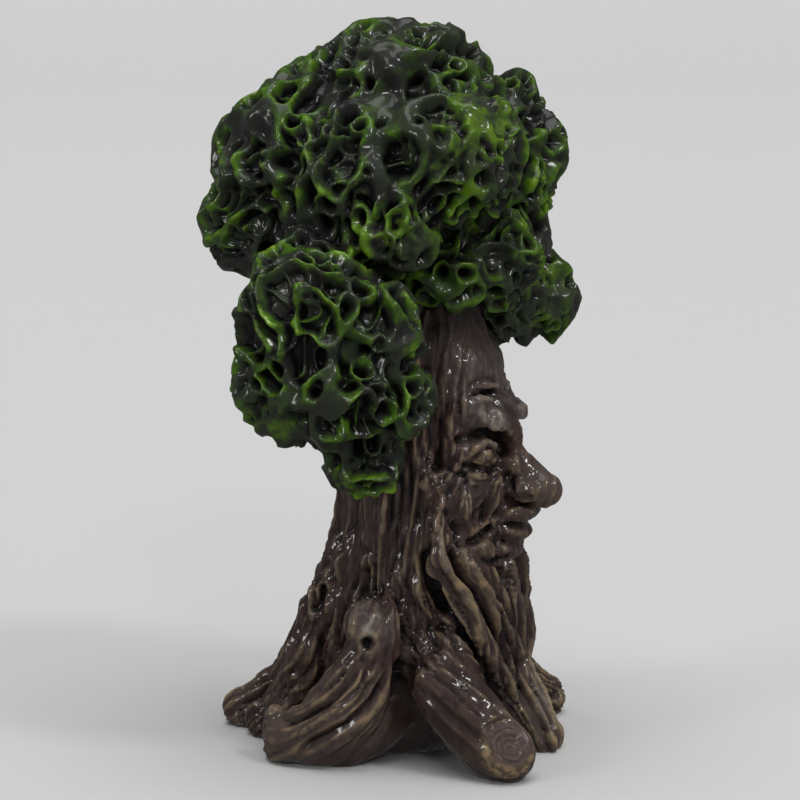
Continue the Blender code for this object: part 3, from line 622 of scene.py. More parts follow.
for path, width, lift in (*FACE_STROKES, (SLIT, SLIT_WIDTH, -SLIT_DEPTH), *LOCK_STROKES):
    clay.stroke(path, width, lift)
    clay.stroke(mirrored(path), width, lift)
for path, width, lift in (*MIDDLE_STROKES, *HOLLOW_STROKES, *FOOT_STROKES):
    clay.stroke(path, width, lift)
for number in range(FLUTE_COUNT):
    angle = math.radians(np.interp(number, (0, FLUTE_COUNT - 1), FLUTE_TURNS))
    path = []
    for height in FLUTE_HEIGHTS:
        sway = FLUTE_SWAY * math.sin(height / FLUTE_SWAY_LENGTH + 2 * number)
        path += trunk_ring(height, [angle + sway])
    clay.stroke(path, FLUTE_WIDTH, -FLUTE_DEPTH)
for side in (1, -1):
    for (x, y, z), radius, lift in FACE_SWELLINGS:
        clay.lift(clay.around((side * x, y, z), radius) * lift)
middle, radius, lift = KNEE_TOP
clay.lift(clay.around(middle, radius) * lift)
middle, radius, lift = KNEE_EYE
clay.lift(clay.around(middle, radius) ** KNEE_EYE_WALL * lift)
for middle, radius, lift in PRESSED:
    clay.lift(clay.around(middle, radius) * lift)
clay.soften(SMOOTHED, SMOOTHING_ROUNDS)
for share in np.linspace(0, 1, CHEEK_LINES):
    path = (1 - share) * np.array(CHEEK_FRONT) + share * np.array(CHEEK_BACK)
    clay.stroke(path, CHEEK_LINE_WIDTH, -CHEEK_LINE_DEPTH)
    clay.stroke(mirrored(path), CHEEK_LINE_WIDTH, -CHEEK_LINE_DEPTH)

guides = [*BARK_FLOW, *FACE_FLOW, SAWN_FLOW, *map(mirrored, FACE_FLOW)]
guides += [path for path, _, _ in LOCK_STROKES] + [mirrored(path) for path, _, _ in LOCK_STROKES]
guides += [path for path, _, _ in FOOT_STROKES]
for angle in np.radians(GRAIN_TURNS):
    guides.append([trunk_ring(height, [angle])[0] for height in GRAIN_HEIGHTS])
for name in GROOVED_ROOTS:
    middle = smooth_path(ROOTS[name])
    way = np.gradient(middle[:, :3], axis=0)
    side = np.cross(way, (0, 0, 1))
    side /= np.linalg.norm(side, axis=1)[:, None]
    top = np.cross(side, way)
    top /= np.linalg.norm(top, axis=1)[:, None]
    for turn in np.radians(GROOVE_TURNS):
        line = middle[:, :3] + middle[:, 3:] * (math.sin(turn) * side + math.cos(turn) * top)
        line = line[len(middle) // 3::4]
        clay.stroke(line, GROOVE_WIDTH, -GROOVE_DEPTH)
        guides.append(line)
clay.saw(SAW_MIDDLE, SAW_WAY, SAW_REACH)

# How high the broad and the fine ribs of the grain stand
COARSE_RIBS = 1.05
FINE_RIBS = 0.70

# Where the grain is cut less deep: hardly at all on the nose, the lips and the sawn root.
# Each spot has its middle, how far it reaches, and how much of the grain it takes away.
QUIET_SPOTS = (
    ((0, -20, 38), 7.5, 1.0), ((0, -18, 32), 7, 1.0), ((0, -14, 54), 12, 0.9),
    ((-6, -14, 42), 5, 0.9), ((6, -14, 42), 5, 0.9), ((-5, -15.5, 47), 6, 0.85),
    ((5, -15.5, 47), 6, 0.85), ((0, -16, 28), 6, 0.8), ((-7, -14.5, 29), 4, 0.9),
    ((7, -14.5, 29), 4, 0.9), ((-8, -14, 36), 5, 0.8), ((8, -14, 36), 5, 0.8),
    ((-14, -15, 7), 10, 1.0), ((-17, -21, 5), 7, 1.0), ((-18, -2, 19.5), 5.5, 0.9),
    ((-15, 4, 4), 10, 0.8), ((-9, -4, 4), 9, 0.9), ((-12, -7, 9), 7, 1.0),
    ((-16, 11, 5), 5, 0.8),
)
loud = np.ones(len(clay.points))
for middle, radius, quiet in QUIET_SPOTS:
    loud *= 1 - quiet * clay.around(middle, radius) ** 0.5
flow = clay.flow(guides)
coarse = clay.ribs(flow, 1.5, 10, 1.3, 3)
fine = clay.ribs(flow, 0.85, 7, 1.1, 5)
clay.lift(COARSE_RIBS * coarse * loud + FINE_RIBS * fine * (0.35 + 0.65 * loud))
clay.points = clay.averaged(clay.points, 1)
broad_dents = (mottle(clay.points, 3.5, 8) - 0.5) * 0.45 * (0.25 + 0.75 * loud)
small_dents = (mottle(clay.points, 0.9, 9) - 0.5) * 0.12
clay.lift(broad_dents + small_dents)
clay.layers["Loud"] = loud

# Growth rings on the sawn end, which is dished a little
RING_GAP = 0.8
RING_HEIGHT = 0.16
SAWN_RADIUS = 4.0
SAWN_SKIN = 0.35  # how near the plane of the cut the skin counts as sawn
SAWN_DISH = 0.35
away = np.linalg.norm(clay.points - SAW_MIDDLE, axis=1)
level = np.abs((clay.points - SAW_MIDDLE) @ (np.array(SAW_WAY) / np.linalg.norm(SAW_WAY))) < SAWN_SKIN
cut = clay.averaged(np.where(level & (away < SAWN_RADIUS), 1.0, 0.0)[:, None], 2)[:, 0]
rings = RING_HEIGHT * np.cos(away * math.tau / RING_GAP)
clay.lift(cut * (rings - SAWN_DISH * clay.around(SAW_MIDDLE, 2.7) ** 0.3))

# Where the ochre is brushed on most: the foot, the sawn end, the eyes, the nose, the locks, the root ends
OCHRE_REACH = 1.3  # the brush wanders past each spot by this share
OCHRE_EVERYWHERE = 0.30
OCHRE_SPOTS = (
    ((-15.5, 9, 5), 9, 0.9), ((-18, 2, 8), 9, 0.8), ((-18, -2, 19), 6, 0.6), ((-16.5, -20.5, 5), 4.5, 1.0),
    ((1, -20, 6), 9, 1.0), ((-6, -14, 43), 3.5, 0.9), ((6, -14, 43), 3.5, 0.9), ((0, -21, 37), 6, 0.9),
    ((-9, -13, 36), 6, 0.7), ((9, -13, 36), 6, 0.7), ((-11, -12, 28), 8, 0.7), ((11, -12, 28), 8, 0.7),
    ((-10, -14, 20), 7, 0.7), ((10, -14, 20), 7, 0.7), ((20, -14, 3), 7, 0.7), ((20, 8, 3), 7, 0.7),
    ((12, 18, 3), 6, 0.7), ((2, 22, 3), 7, 0.7), ((-8, 12, 8), 6, 0.4),
)

# Where the silver grey goes on, partly pale paint and partly a painted highlight: the brows, the forehead,
# the front root, the cheek and the knee
SILVER_AND_HIGHLIGHT_SPOTS = (
    ((-6.0, -15.5, 47.0), 5.5, 0.7), ((6.0, -15.5, 47.0), 5.5, 0.6), ((-7, -12, 54), 6, 0.4),
    ((7, -12, 54), 6, 0.4), ((2, -20, 7), 8, 0.3), ((-10, -14, 38), 4, 0.4),
    ((-17.5, -2.0, 20.5), 4.5, 0.55), ((0, -17, 52), 7, 0.35),
)
RIM_RADIUS = 3.2
RIM_WIDTH = 1.3
SHADE_FROM, SHADE_TO = 54.0, 61.0  # the painted shade under the foliage darkens the bark between these heights
HOLLOW_ROUNDS = 20  # how far round it each point looks to tell a ridge from a hollow
ochre = np.full(len(clay.points), OCHRE_EVERYWHERE)
silver_and_highlight = np.zeros(len(clay.points))
for middle, radius, strength in OCHRE_SPOTS:
    ochre = np.maximum(ochre, strength * clay.around(middle, radius * OCHRE_REACH) ** 0.5)
for middle, radius, strength in SILVER_AND_HIGHLIGHT_SPOTS:
    silver_and_highlight = np.maximum(silver_and_highlight, strength * clay.around(middle, radius))
clay.layers["Ochre"] = ochre * (1 - cut)
clay.layers["Rim"] = np.clip(1 - np.abs(away - RIM_RADIUS) / RIM_WIDTH, 0, 1) * (1 - cut)
clay.layers["ShadeUnderFoliage"] = eased(clay.points[:, 2], SHADE_FROM, SHADE_TO)
clay.layers["SilverAndHighlight"] = silver_and_highlight
clay.layers["Cut"] = cut
clay.finish(TRUNK_TRIANGLES, HOLLOW_ROUNDS)


def brushed_on(name):
    """Paint dragged over the high places of a surface, broken up as a dry brush leaves it."""
    group = bpy.data.node_groups.new(name, "ShaderNodeTree")
    sockets = group.interface
    for value in ("Height", "Low", "High", "Amount", "Patch Scale"):
        sockets.new_socket(value, in_out="INPUT", socket_type="NodeSocketFloat")
    sockets.new_socket("Mask", in_out="OUTPUT", socket_type="NodeSocketFloat")
    nodes, links = group.nodes, group.links
    given = nodes.new("NodeGroupInput")
    result = nodes.new("NodeGroupOutput")
    place = nodes.new("ShaderNodeTexCoord")
    rise = nodes.new("ShaderNodeMapRange")
    rise.interpolation_type = "SMOOTHSTEP"
    links.new(given.outputs["Height"], rise.inputs["Value"])
    links.new(given.outputs["Low"], rise.inputs["From Min"])
    links.new(given.outputs["High"], rise.inputs["From Max"])
    patches = nodes.new("ShaderNodeTexNoise")
    patches.inputs["Detail"].default_value = 5
    patches.inputs["Roughness"].default_value = 0.65
    links.new(place.outputs["Object"], patches.inputs["Vector"])
    links.new(given.outputs["Patch Scale"], patches.inputs["Scale"])
    spread = nodes.new("ShaderNodeMapRange")
    spread.inputs["From Min"].default_value = 0.38
    spread.inputs["From Max"].default_value = 0.62
    links.new(patches.outputs["Fac"], spread.inputs["Value"])
    patchy = nodes.new("ShaderNodeMath")
    patchy.operation = "MULTIPLY"
    links.new(rise.outputs["Result"], patchy.inputs[0])
    links.new(spread.outputs["Result"], patchy.inputs[1])
    amount = nodes.new("ShaderNodeMath")
    amount.operation = "MULTIPLY"
    amount.use_clamp = True
    links.new(patchy.outputs["Value"], amount.inputs[0])
    links.new(given.outputs["Amount"], amount.inputs[1])
    links.new(amount.outputs["Value"], result.inputs["Mask"])
    return group


def brush_grain(name):
    """The fine unevenness that the brush and the varnish leave, as a height for a bump and a roughness."""
    group = bpy.data.node_groups.new(name, "ShaderNodeTree")
    sockets = group.interface
    for value in ("Scale", "Smoothest", "Roughest"):
        sockets.new_socket(value, in_out="INPUT", socket_type="NodeSocketFloat")
    for value in ("Height", "Roughness"):
        sockets.new_socket(value, in_out="OUTPUT", socket_type="NodeSocketFloat")
    nodes, links = group.nodes, group.links
    given = nodes.new("NodeGroupInput")
    result = nodes.new("NodeGroupOutput")
    place = nodes.new("ShaderNodeTexCoord")
    grain = nodes.new("ShaderNodeTexNoise")
    grain.inputs["Detail"].default_value = 4
    links.new(place.outputs["Object"], grain.inputs["Vector"])
    links.new(given.outputs["Scale"], grain.inputs["Scale"])
    links.new(grain.outputs["Fac"], result.inputs["Height"])
    sheen = nodes.new("ShaderNodeTexNoise")
    sheen.inputs["Scale"].default_value = 350
    sheen.inputs["Detail"].default_value = 3
    links.new(place.outputs["Object"], sheen.inputs["Vector"])
    spread = nodes.new("ShaderNodeMapRange")
    spread.inputs["From Min"].default_value = 0.35
    spread.inputs["From Max"].default_value = 0.65
    links.new(sheen.outputs["Fac"], spread.inputs["Value"])
    links.new(given.outputs["Smoothest"], spread.inputs["To Min"])
    links.new(given.outputs["Roughest"], spread.inputs["To Max"])
    links.new(spread.outputs["Result"], result.inputs["Roughness"])
    return group


dry_brush = brushed_on("dry brush")
varnish_grain = brush_grain("varnish grain")


class Paint:
    """A material of varnished paint, to which coats of colour are added one over another."""

    def __init__(self, name, colour):
        self.material = bpy.data.materials.new(name)
        self.material.use_nodes = True
        self.nodes = self.material.node_tree.nodes
        self.links = self.material.node_tree.links
        self.shader = self.nodes["Principled BSDF"]
        self.colour = self.nodes.new("ShaderNodeRGB").outputs["Color"]
        self.colour.default_value = (*colour, 1)

    def layer(self, name):
        """A value that the worked skin carries."""
        node = self.nodes.new("ShaderNodeAttribute")
        node.attribute_name = name
        return node.outputs["Fac"]

    def ramp(self, value, low, high, start=0.0, end=1.0):
        """Start where the value is low and end where it is high, with a smooth change between them."""
        node = self.nodes.new("ShaderNodeMapRange")
        node.interpolation_type = "SMOOTHSTEP"
        self.links.new(value, node.inputs["Value"])
        node.inputs["From Min"].default_value = low
        node.inputs["From Max"].default_value = high
        node.inputs["To Min"].default_value = start
        node.inputs["To Max"].default_value = end
        return node.outputs["Result"]

    def noise(self, scale, detail=3.0):
        """Random patches of paint."""
        place = self.nodes.new("ShaderNodeTexCoord")
        node = self.nodes.new("ShaderNodeTexNoise")
        node.inputs["Scale"].default_value = scale
        node.inputs["Detail"].default_value = detail
        self.links.new(place.outputs["Object"], node.inputs["Vector"])
        return node.outputs["Fac"]

    def times(self, one, other):
        """One mask thinned by another, or by a value."""
        node = self.nodes.new("ShaderNodeMath")
        node.operation = "MULTIPLY"
        self.links.new(one, node.inputs[0])
        if isinstance(other, float):
            node.inputs[1].default_value = other
        else:
            self.links.new(other, node.inputs[1])
        return node.outputs["Value"]

    def coat(self, colour, mask):
        """Paints the colour over what is there, as strongly as the mask says."""
        node = self.nodes.new("ShaderNodeMix")
        node.data_type = "RGBA"
        self.links.new(mask, node.inputs["Factor"])
        self.links.new(self.colour, node.inputs["A"])
        node.inputs["B"].default_value = (*colour, 1)
        self.colour = node.outputs["Result"]

    def brushed(self, height, low, high, amount, patch_scale):
        """The mask of a dry brush that starts to catch at the low height and covers at the high one."""
        node = self.nodes.new("ShaderNodeGroup")
        node.node_tree = dry_brush
        self.links.new(height, node.inputs["Height"])
        node.inputs["Low"].default_value = low
        node.inputs["High"].default_value = high
        node.inputs["Patch Scale"].default_value = patch_scale
        if isinstance(amount, float):
            node.inputs["Amount"].default_value = amount
        else:
            self.links.new(amount, node.inputs["Amount"])
        return node.outputs["Mask"]

    def streaks(self, scale, stretch):
        """A fine grain that runs up and down."""
        place = self.nodes.new("ShaderNodeTexCoord")
        squeeze = self.nodes.new("ShaderNodeVectorMath")
        squeeze.operation = "MULTIPLY"
        squeeze.inputs[1].default_value = (1, 1, stretch)
        self.links.new(place.outputs["Object"], squeeze.inputs[0])
        node = self.nodes.new("ShaderNodeTexNoise")
        node.inputs["Scale"].default_value = scale
        node.inputs["Detail"].default_value = 3
        self.links.new(squeeze.outputs["Vector"], node.inputs["Vector"])
        return node.outputs["Fac"]

    def varnished(self, grain_scale, grain_depth, smoothest, roughest, coat, coat_roughness):
        """The finished material, with the paint's grain and a coat of varnish, a value or a mask."""
        grain = self.nodes.new("ShaderNodeGroup")
        grain.node_tree = varnish_grain
        grain.inputs["Scale"].default_value = grain_scale
        grain.inputs["Smoothest"].default_value = smoothest
        grain.inputs["Roughest"].default_value = roughest
        bump = self.nodes.new("ShaderNodeBump")
        bump.inputs["Distance"].default_value = grain_depth * MM
        self.links.new(grain.outputs["Height"], bump.inputs["Height"])
        self.links.new(bump.outputs["Normal"], self.shader.inputs["Normal"])
        self.links.new(grain.outputs["Roughness"], self.shader.inputs["Roughness"])
        self.links.new(self.colour, self.shader.inputs["Base Color"])
        self.shader.inputs["Specular IOR Level"].default_value = 0.15
        if isinstance(coat, float):
            self.shader.inputs["Coat Weight"].default_value = coat
        else:
            self.links.new(coat, self.shader.inputs["Coat Weight"])
        self.shader.inputs["Coat Roughness"].default_value = coat_roughness
        return self.material


# Colours of the bark, from the undercoat up
UNDERCOAT = (0.042, 0.025, 0.024)
DEEP_BROWN = (0.028, 0.016, 0.016)
FIBRE_BROWN = (0.070, 0.050, 0.044)
RED_BROWN = (0.060, 0.038, 0.030)
TAN_GLAZE = (0.105, 0.078, 0.066)
GREY_GLAZE_AND_HIGHLIGHT = (0.105, 0.090, 0.084)
WORN_BROWN = (0.170, 0.135, 0.115)
OCHRE = (0.300, 0.215, 0.105)
SILVER = (0.440, 0.395, 0.350)
PAINTED_HOLLOW_SHADE = (0.006, 0.004, 0.004)
PAINTED_SHADE_UNDER_FOLIAGE = (0.012, 0.008, 0.008)
SAWN_BROWN = (0.085, 0.060, 0.054)
RIM_OCHRE = (0.300, 0.220, 0.110)

bark = Paint("bark", UNDERCOAT)
height = bark.layer("Height")
bark.coat(DEEP_BROWN, bark.ramp(bark.noise(90), 0.40, 0.60))
fibres = bark.times(bark.ramp(bark.streaks(1500, 0.14), 0.50, 0.64), bark.layer("Loud"))
bark.coat(FIBRE_BROWN, bark.times(fibres, 0.7))
bark.coat(RED_BROWN, bark.times(bark.ramp(bark.noise(260, 5.0), 0.50, 0.66), 0.6))
bark.coat(TAN_GLAZE, bark.times(bark.ramp(bark.layer("Ochre"), 0.35, 1.0), 0.55))
# Pale grey over the silver spots: paint on the brows, and a painted highlight on the forehead, the cheek and
# the knee.
bark.coat(GREY_GLAZE_AND_HIGHLIGHT, bark.times(bark.layer("SilverAndHighlight"), 0.6))
bark.coat(WORN_BROWN, bark.brushed(height, 0.08, 0.36, 0.70, 480.0))
bark.coat(OCHRE, bark.brushed(height, 0.02, 0.26, bark.layer("Ochre"), 380.0))
# Silver on the high places of those spots: partly pale paint, partly a painted highlight.
bark.coat(SILVER, bark.brushed(height, -0.10, 0.26, bark.layer("SilverAndHighlight"), 500.0))
# Painted shade: the hollows of the bark are darkened towards black the deeper they lie.
bark.coat(PAINTED_HOLLOW_SHADE, bark.ramp(height, -0.03, -0.34, 0.0, 0.93))
# Painted shade: the bark is darkened towards its top, where the foliage overhangs it.
bark.coat(PAINTED_SHADE_UNDER_FOLIAGE, bark.times(bark.layer("ShadeUnderFoliage"), 0.75))
bark.coat(SAWN_BROWN, bark.times(bark.layer("Cut"), 0.6))
broken_rim = bark.ramp(bark.noise(900, 4.0), 0.42, 0.58, 0.15, 0.85)
bark.coat(RIM_OCHRE, bark.times(bark.layer("Rim"), broken_rim))
thin_on_cut = bark.ramp(bark.layer("Cut"), 0.1, 0.7, 0.8, 0.1)
thin_in_hollows = bark.ramp(height, -0.40, -0.05, 0.2, 1.0)
bark_varnish = bark.times(thin_on_cut, thin_in_hollows)
trunk.data.materials.append(bark.varnished(2600.0, 0.05, 0.24, 0.46, bark_varnish, 0.08))
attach(trunk, "root")
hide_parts("tree_face_sculpture")


# Crown of foliage.
# The round head of leaves on the trunk, deeply pitted like a sponge, with rounded walls between the pits.
# It is cast in one with the trunk, painted green black and dry-brushed in yellow green.

# Middle and half sizes of each clump
CLUMPS = {
    "crown_back": ((-6.3, 11.8, 79.6), (14.0, 11.6, 13.0)),
    "crown_top_back": ((-2.6, 8.2, 84.6), (13.0, 10.4, 11.4)),
    "crown_back_low": ((-7.6, 16.0, 72.6), (10.0, 9.4, 8.4)),
    "crown_top": ((0.1, -0.6, 86.6), (15.6, 14.0, 13.6)),
    "crown_front": ((-6.6, -7.8, 82.0), (12.6, 12.4, 10.4)),
    "crown_right": ((-11.4, 3.2, 79.6), (10.4, 12.6, 10.6)),
    "crown_left": ((13.0, 5.5, 81.0), (14.0, 15.0, 12.4)),
    "crown_left_front": ((15.6, -11.4, 80.8), (9.6, 7.2, 11.4)),
    "crown_core": ((2.0, 0.0, 72.0), (13.0, 12.0, 9.0)),
    "right_bump": ((-14.6, -4.6, 72.6), (7.4, 6.2, 6.8)),
    "right_join": ((-16.4, 4.6, 68.0), (7.0, 8.0, 6.0)),
    "back_skirt": ((2.6, 18.0, 70.0), (8.6, 7.0, 8.4)),
    "brow_lump": ((2.6, -13.6, 67.4), (7.6, 7.0, 7.4)),
    "brow_right": ((-5.4, -8.6, 66.8), (6.6, 6.8, 6.0)),
    "left_join": ((14.2, -11.4, 69.0), (7.6, 6.6, 8.0)),
    "left_front_join": ((11.4, -11.6, 60.6), (7.0, 5.6, 6.6)),
    "left_front_lobe": ((19.4, -14.8, 60.2), (6.4, 5.5, 7.0)),
    "right_lobe": ((-22.6, 4.6, 62.0), (9.0, 10.6, 9.8)),
    "right_lobe_front": ((-20.8, -2.6, 60.2), (7.0, 7.4, 8.6)),
    "right_lobe_middle": ((-22.4, 2.4, 52.6), (8.4, 10.8, 9.0)),
    "right_lobe_back": ((-22.6, 8.8, 55.6), (7.2, 6.6, 9.6)),
    "right_lobe_low": ((-19.4, -5.4, 51.0), (6.0, 6.0, 6.4)),
    "right_lobe_tip": ((-19.8, -1.8, 43.2), (5.4, 5.9, 6.6)),
    "left_lobe": ((18.0, 5.2, 65.0), (9.2, 9.8, 10.0)),
    "left_lobe_middle": ((17.2, 3.0, 56.4), (7.4, 8.2, 7.6)),
    "left_lobe_tip": ((16.2, 6.6, 49.0), (5.8, 6.4, 6.2)),
}

# Dents, ribbons and pits of the foliage
DENT_SPACING = 7.0
DENT_REACH = 0.62  # in spacings
DENT_DEPTH = 1.7
RIBBON_LENGTH = 6.6  # twice the usual way from one ribbon to the next
RIBBON_WAVES = 28  # how many waves are laid over one another
PIT_DEPTH = 2.5
ROUND_PIT_RADII = (0.8, 1.55)
ROUND_PIT_GAP = 0.8
POINTS_TO_A_ROUND_PIT = 700  # one try at a round pit for so many points of the skin
FOLIAGE_HOLLOW_ROUNDS = 24

# The table of random spots behind the dents, and the strides with which it is read
SPOT_COUNT = 4096
SPOT_STRIDES = (73, 179, 283)

# A large pit with a rim, on the tuft, and the smooth places low on the front of the crown
RING_PITS = (((-4.8, -15.6, 68.2), 2.8),)
RING_RIM = 0.55  # how far the rim stands up
RING_BOWL = 1.7  # how much deeper the bowl is sunk
CALM_SPOTS = (((-16.5, -12.5, 83.5), 7.0), ((-12.0, -17.0, 86.5), 5.0))


def clumped(name, clumps, grain):
    """A mass of foliage: rounded clumps run together."""
    shell = bmesh.new()
    for middle, half_sizes in clumps:
        lump(shell, middle, half_sizes)
    return one_skin(name, shell, grain, 3)


def scattered_cells(points, spacing, seed):
    """For each point, how far the nearest of a scatter of spots is, one spot to a cell, in spacings."""
    table = np.random.default_rng(seed).random((SPOT_COUNT, 3))
    grid = points / spacing
    cell = np.floor(grid).astype(int)
    nearest = np.full(len(points), np.inf)
    for i in (-1, 0, 1):
        for j in (-1, 0, 1):
            for k in (-1, 0, 1):
                spot = cell + (i, j, k)
                row = spot @ SPOT_STRIDES % SPOT_COUNT
                nearest = np.minimum(nearest, np.linalg.norm(grid - spot - table[row], axis=1))
    return nearest


def dented(clay):
    """The broad dents of the foliage, as wide as they are irregular."""
    turned = clay.points[:, [1, 2, 0]] * 0.9 + np.cos(clay.points[:, [2, 0, 1]] * 0.7)
    nearest = scattered_cells(clay.points + 1.3 * np.sin(turned), DENT_SPACING, 11)
    clay.lift(np.clip(1 - (nearest / DENT_REACH) ** 2, 0, 1) ** 1.4 * -DENT_DEPTH)


def waves(points, length, seed):
    """A smooth random value at each point, made of waves of one length; its zero lines wander and loop."""
    random = np.random.default_rng(seed)
    ways = random.normal(size=(RIBBON_WAVES, 3))
    ways *= math.tau / length / np.linalg.norm(ways, axis=1)[:, None]
    phases = random.random(RIBBON_WAVES) * math.tau
    return np.cos(points @ ways.T + phases).sum(axis=1) / math.sqrt(RIBBON_WAVES / 2)


def drifted(points, size, seed):
    """A smooth random shift of each point, up to 1 each way, that changes over about that size."""
    return np.stack([mottle(points, size, seed + axis) for axis in range(3)], axis=1) * 2 - 1


def pitted(clay, wall, seed):
    """Sinks deep pits between curling ribbons of foliage, and round ones with a rim among them."""
    random = np.random.default_rng(seed)
    shift = 1.6 * drifted(clay.points, 8.0, seed) + 0.3 * drifted(clay.points, 1.3, seed + 3)
    spots = (clay.points + shift) * (1, 1, 0.85)
    wall = wall * (0.5 + mottle(clay.points, 7.0, seed + 8))
    broad = 1 - eased(np.abs(waves(spots, RIBBON_LENGTH, seed)), wall, wall + 0.40)
    fine_waves = np.abs(waves(spots, RIBBON_LENGTH * 0.6, seed + 1))
    slender = 1 - eased(fine_waves, wall * 0.4, wall * 0.4 + 0.45)
    height = np.maximum(broad, slender * (0.25 + 0.5 * mottle(clay.points, 3.0, seed + 9)))
    rings = list(RING_PITS)
    for index in random.integers(len(clay.points), size=len(clay.points) // POINTS_TO_A_ROUND_PIT):
        radius = random.uniform(*ROUND_PIT_RADII)
        gaps = [np.linalg.norm(clay.points[index] - middle) - other - radius for middle, other in rings]
        if min(gaps) > ROUND_PIT_GAP:
            rings.append((clay.points[index], radius))
    for middle, radius in rings:
        near = np.flatnonzero(np.linalg.norm(clay.points - middle, axis=1) < radius * 2.2)
        if len(near):
            nearest = near[np.linalg.norm(clay.points[near] - middle, axis=1).argmin()]
            offset = spots[near] - spots[nearest]
            out = np.linalg.norm(offset, axis=1) / radius
            ring = eased(out, 0.45, 1.12)
            height[near] += (ring - height[near]) * (1 - eased(out, 1.3, 1.75))
    calm = 0.45 * eased(mottle(clay.points, 8.0, seed + 5), 0.55, 0.8)
    for middle, radius in CALM_SPOTS:
        calm = np.maximum(calm, 0.6 * clay.around(middle, radius) ** 0.5)
    for middle, radius in RING_PITS:
        calm *= 1 - clay.around(middle, radius * 2) ** 0.5
    clay.layers["Calm"] = calm
    uneven = (mottle(clay.points, 3.2, seed + 7) - 0.5) * 1.3
    clay.lift(uneven * height - PIT_DEPTH * (1 - height) * (1 - calm))


def ringed(clay):
    """Works each large pit that lies on this mass smooth, raises its rim and deepens its bowl."""
    for middle, radius in RING_PITS:
        if clay.around(middle, radius).max() > 0:
            clay.soften(((middle, radius * 1.9, 1.0),), 70)
            out = np.linalg.norm(clay.points - middle, axis=1) / radius
            rim = np.clip(1 - ((out - 1) / 0.2) ** 2, 0, 1)
            bowl = 1 - eased(out, 0.45, 0.95)
            clay.lift(RING_RIM * rim - RING_BOWL * bowl)


def foliage_piece(name, members, wall, grain, triangles, seed):
    """Makes and paints one mass of foliage of those clumps; wall is how broad the ribbons are."""
    mass = clumped(name, [CLUMPS[member] for member in members], grain)
    clay = Clay(mass)
    dented(clay)
    clay.lift((mottle(clay.points, 4.5, seed) - 0.5) * 1.2)
    pitted(clay, wall, seed)
    clay.points = clay.averaged(clay.points, 3)
    clay.lift((mottle(clay.points, 0.6, seed + 5) - 0.5) * 0.08)
    ringed(clay)
    clay.finish(triangles, FOLIAGE_HOLLOW_ROUNDS)
    mass.data.materials.append(foliage_paint)
    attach(mass, "root")
    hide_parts("tree_face_sculpture")


def clumps_of(*starts):
    """The names of the clumps that begin with one of those words."""
    return [name for name in CLUMPS if name.startswith(starts)]


# Colours of the foliage, from the undercoat up
LEAF_BLACK = (0.016, 0.014, 0.016)
LEAF_GREY = (0.022, 0.026, 0.018)
DARK_GREEN = (0.030, 0.070, 0.005)
MOSS_GREEN = (0.070, 0.160, 0.006)
CALM_GREEN = (0.095, 0.180, 0.008)
YELLOW_GREEN = (0.160, 0.290, 0.014)
PAINTED_PIT_SHADE = (0.003, 0.004, 0.003)

leaves = Paint("foliage", LEAF_BLACK)
rise = leaves.layer("Height")
green = leaves.ramp(leaves.noise(170, 4.0), 0.44, 0.58, 0.10, 1.0)
leaves.coat(LEAF_GREY, leaves.ramp(leaves.noise(110), 0.42, 0.58))
leaves.coat(DARK_GREEN, leaves.brushed(rise, -0.30, 0.20, green, 330.0))
leaves.coat(MOSS_GREEN, leaves.brushed(rise, 0.00, 0.45, green, 520.0))
calm = leaves.ramp(leaves.layer("Calm"), 0.15, 0.60)
leaves.coat(CALM_GREEN, leaves.times(calm, leaves.brushed(rise, -0.35, -0.10, green, 330.0)))
leaves.coat(YELLOW_GREEN, leaves.times(leaves.brushed(rise, 0.35, 0.90, green, 700.0), 0.85))
# Painted shade: the pits are darkened towards black, below the dark undercoat, the deeper they lie.
leaves.coat(PAINTED_PIT_SHADE, leaves.ramp(rise, -0.05, -0.55, 0.0, 0.97))
foliage_paint = leaves.varnished(2200.0, 0.05, 0.20, 0.42, leaves.ramp(rise, -0.70, 0.05, 0.12, 0.8), 0.17)

crown_clumps = clumps_of("crown", "right_bump", "right_join", "back_skirt")
foliage_piece("crown", crown_clumps, wall=0.50, grain=0.27, triangles=190000, seed=21)

# Lobes of foliage on the tree's right.
# They hang beside the face like locks of hair, cast and painted as the crown is.
foliage_piece("right_lobes", clumps_of("right_lobe"), wall=0.42, grain=0.24, triangles=150000, seed=41)

# Lobes of foliage on the tree's left.
# They hang the same way on the other side, shorter and close against the trunk.
foliage_piece("left_lobes", clumps_of("left_lobe"), wall=0.42, grain=0.26, triangles=110000, seed=61)

# Tuft of foliage over the brow.
# It leans out above the forehead and runs over to the left, cast and painted as the crown is.
tuft_clumps = clumps_of("brow", "left_join", "left_front")
foliage_piece("brow_tuft", tuft_clumps, wall=0.45, grain=0.25, triangles=150000, seed=81)

# Stage.
# A pale floor that curves up far out on every side, soft lamps round it, and the camera.

# Reach and height of each ring of the floor, and its grey
FLOOR_PROFILE = ((0.0, 0.0), (1.6, 0.0), (2.1, 0.015), (2.5, 0.07), (2.8, 0.18), (3.0, 0.36), (3.08, 0.62))
FLOOR_SIDES = 96
FLOOR_GREY = 0.50
dish = bmesh.new()
centre = dish.verts.new((0, 0, 0))
around = [math.tau * side / FLOOR_SIDES for side in range(FLOOR_SIDES)]
rings = [[dish.verts.new((reach * math.cos(turn), reach * math.sin(turn), rise)) for turn in around]
         for reach, rise in FLOOR_PROFILE[1:]]
for side in range(FLOOR_SIDES):
    after = (side + 1) % FLOOR_SIDES
    dish.faces.new((centre, rings[0][side], rings[0][after]))
    for lower, upper in zip(rings, rings[1:]):
        dish.faces.new((lower[side], upper[side], upper[after], lower[after]))
floor_mesh = bpy.data.meshes.new("floor")
dish.to_mesh(floor_mesh)
dish.free()
floor_mesh.shade_smooth()
floor = bpy.data.objects.new("floor", floor_mesh)
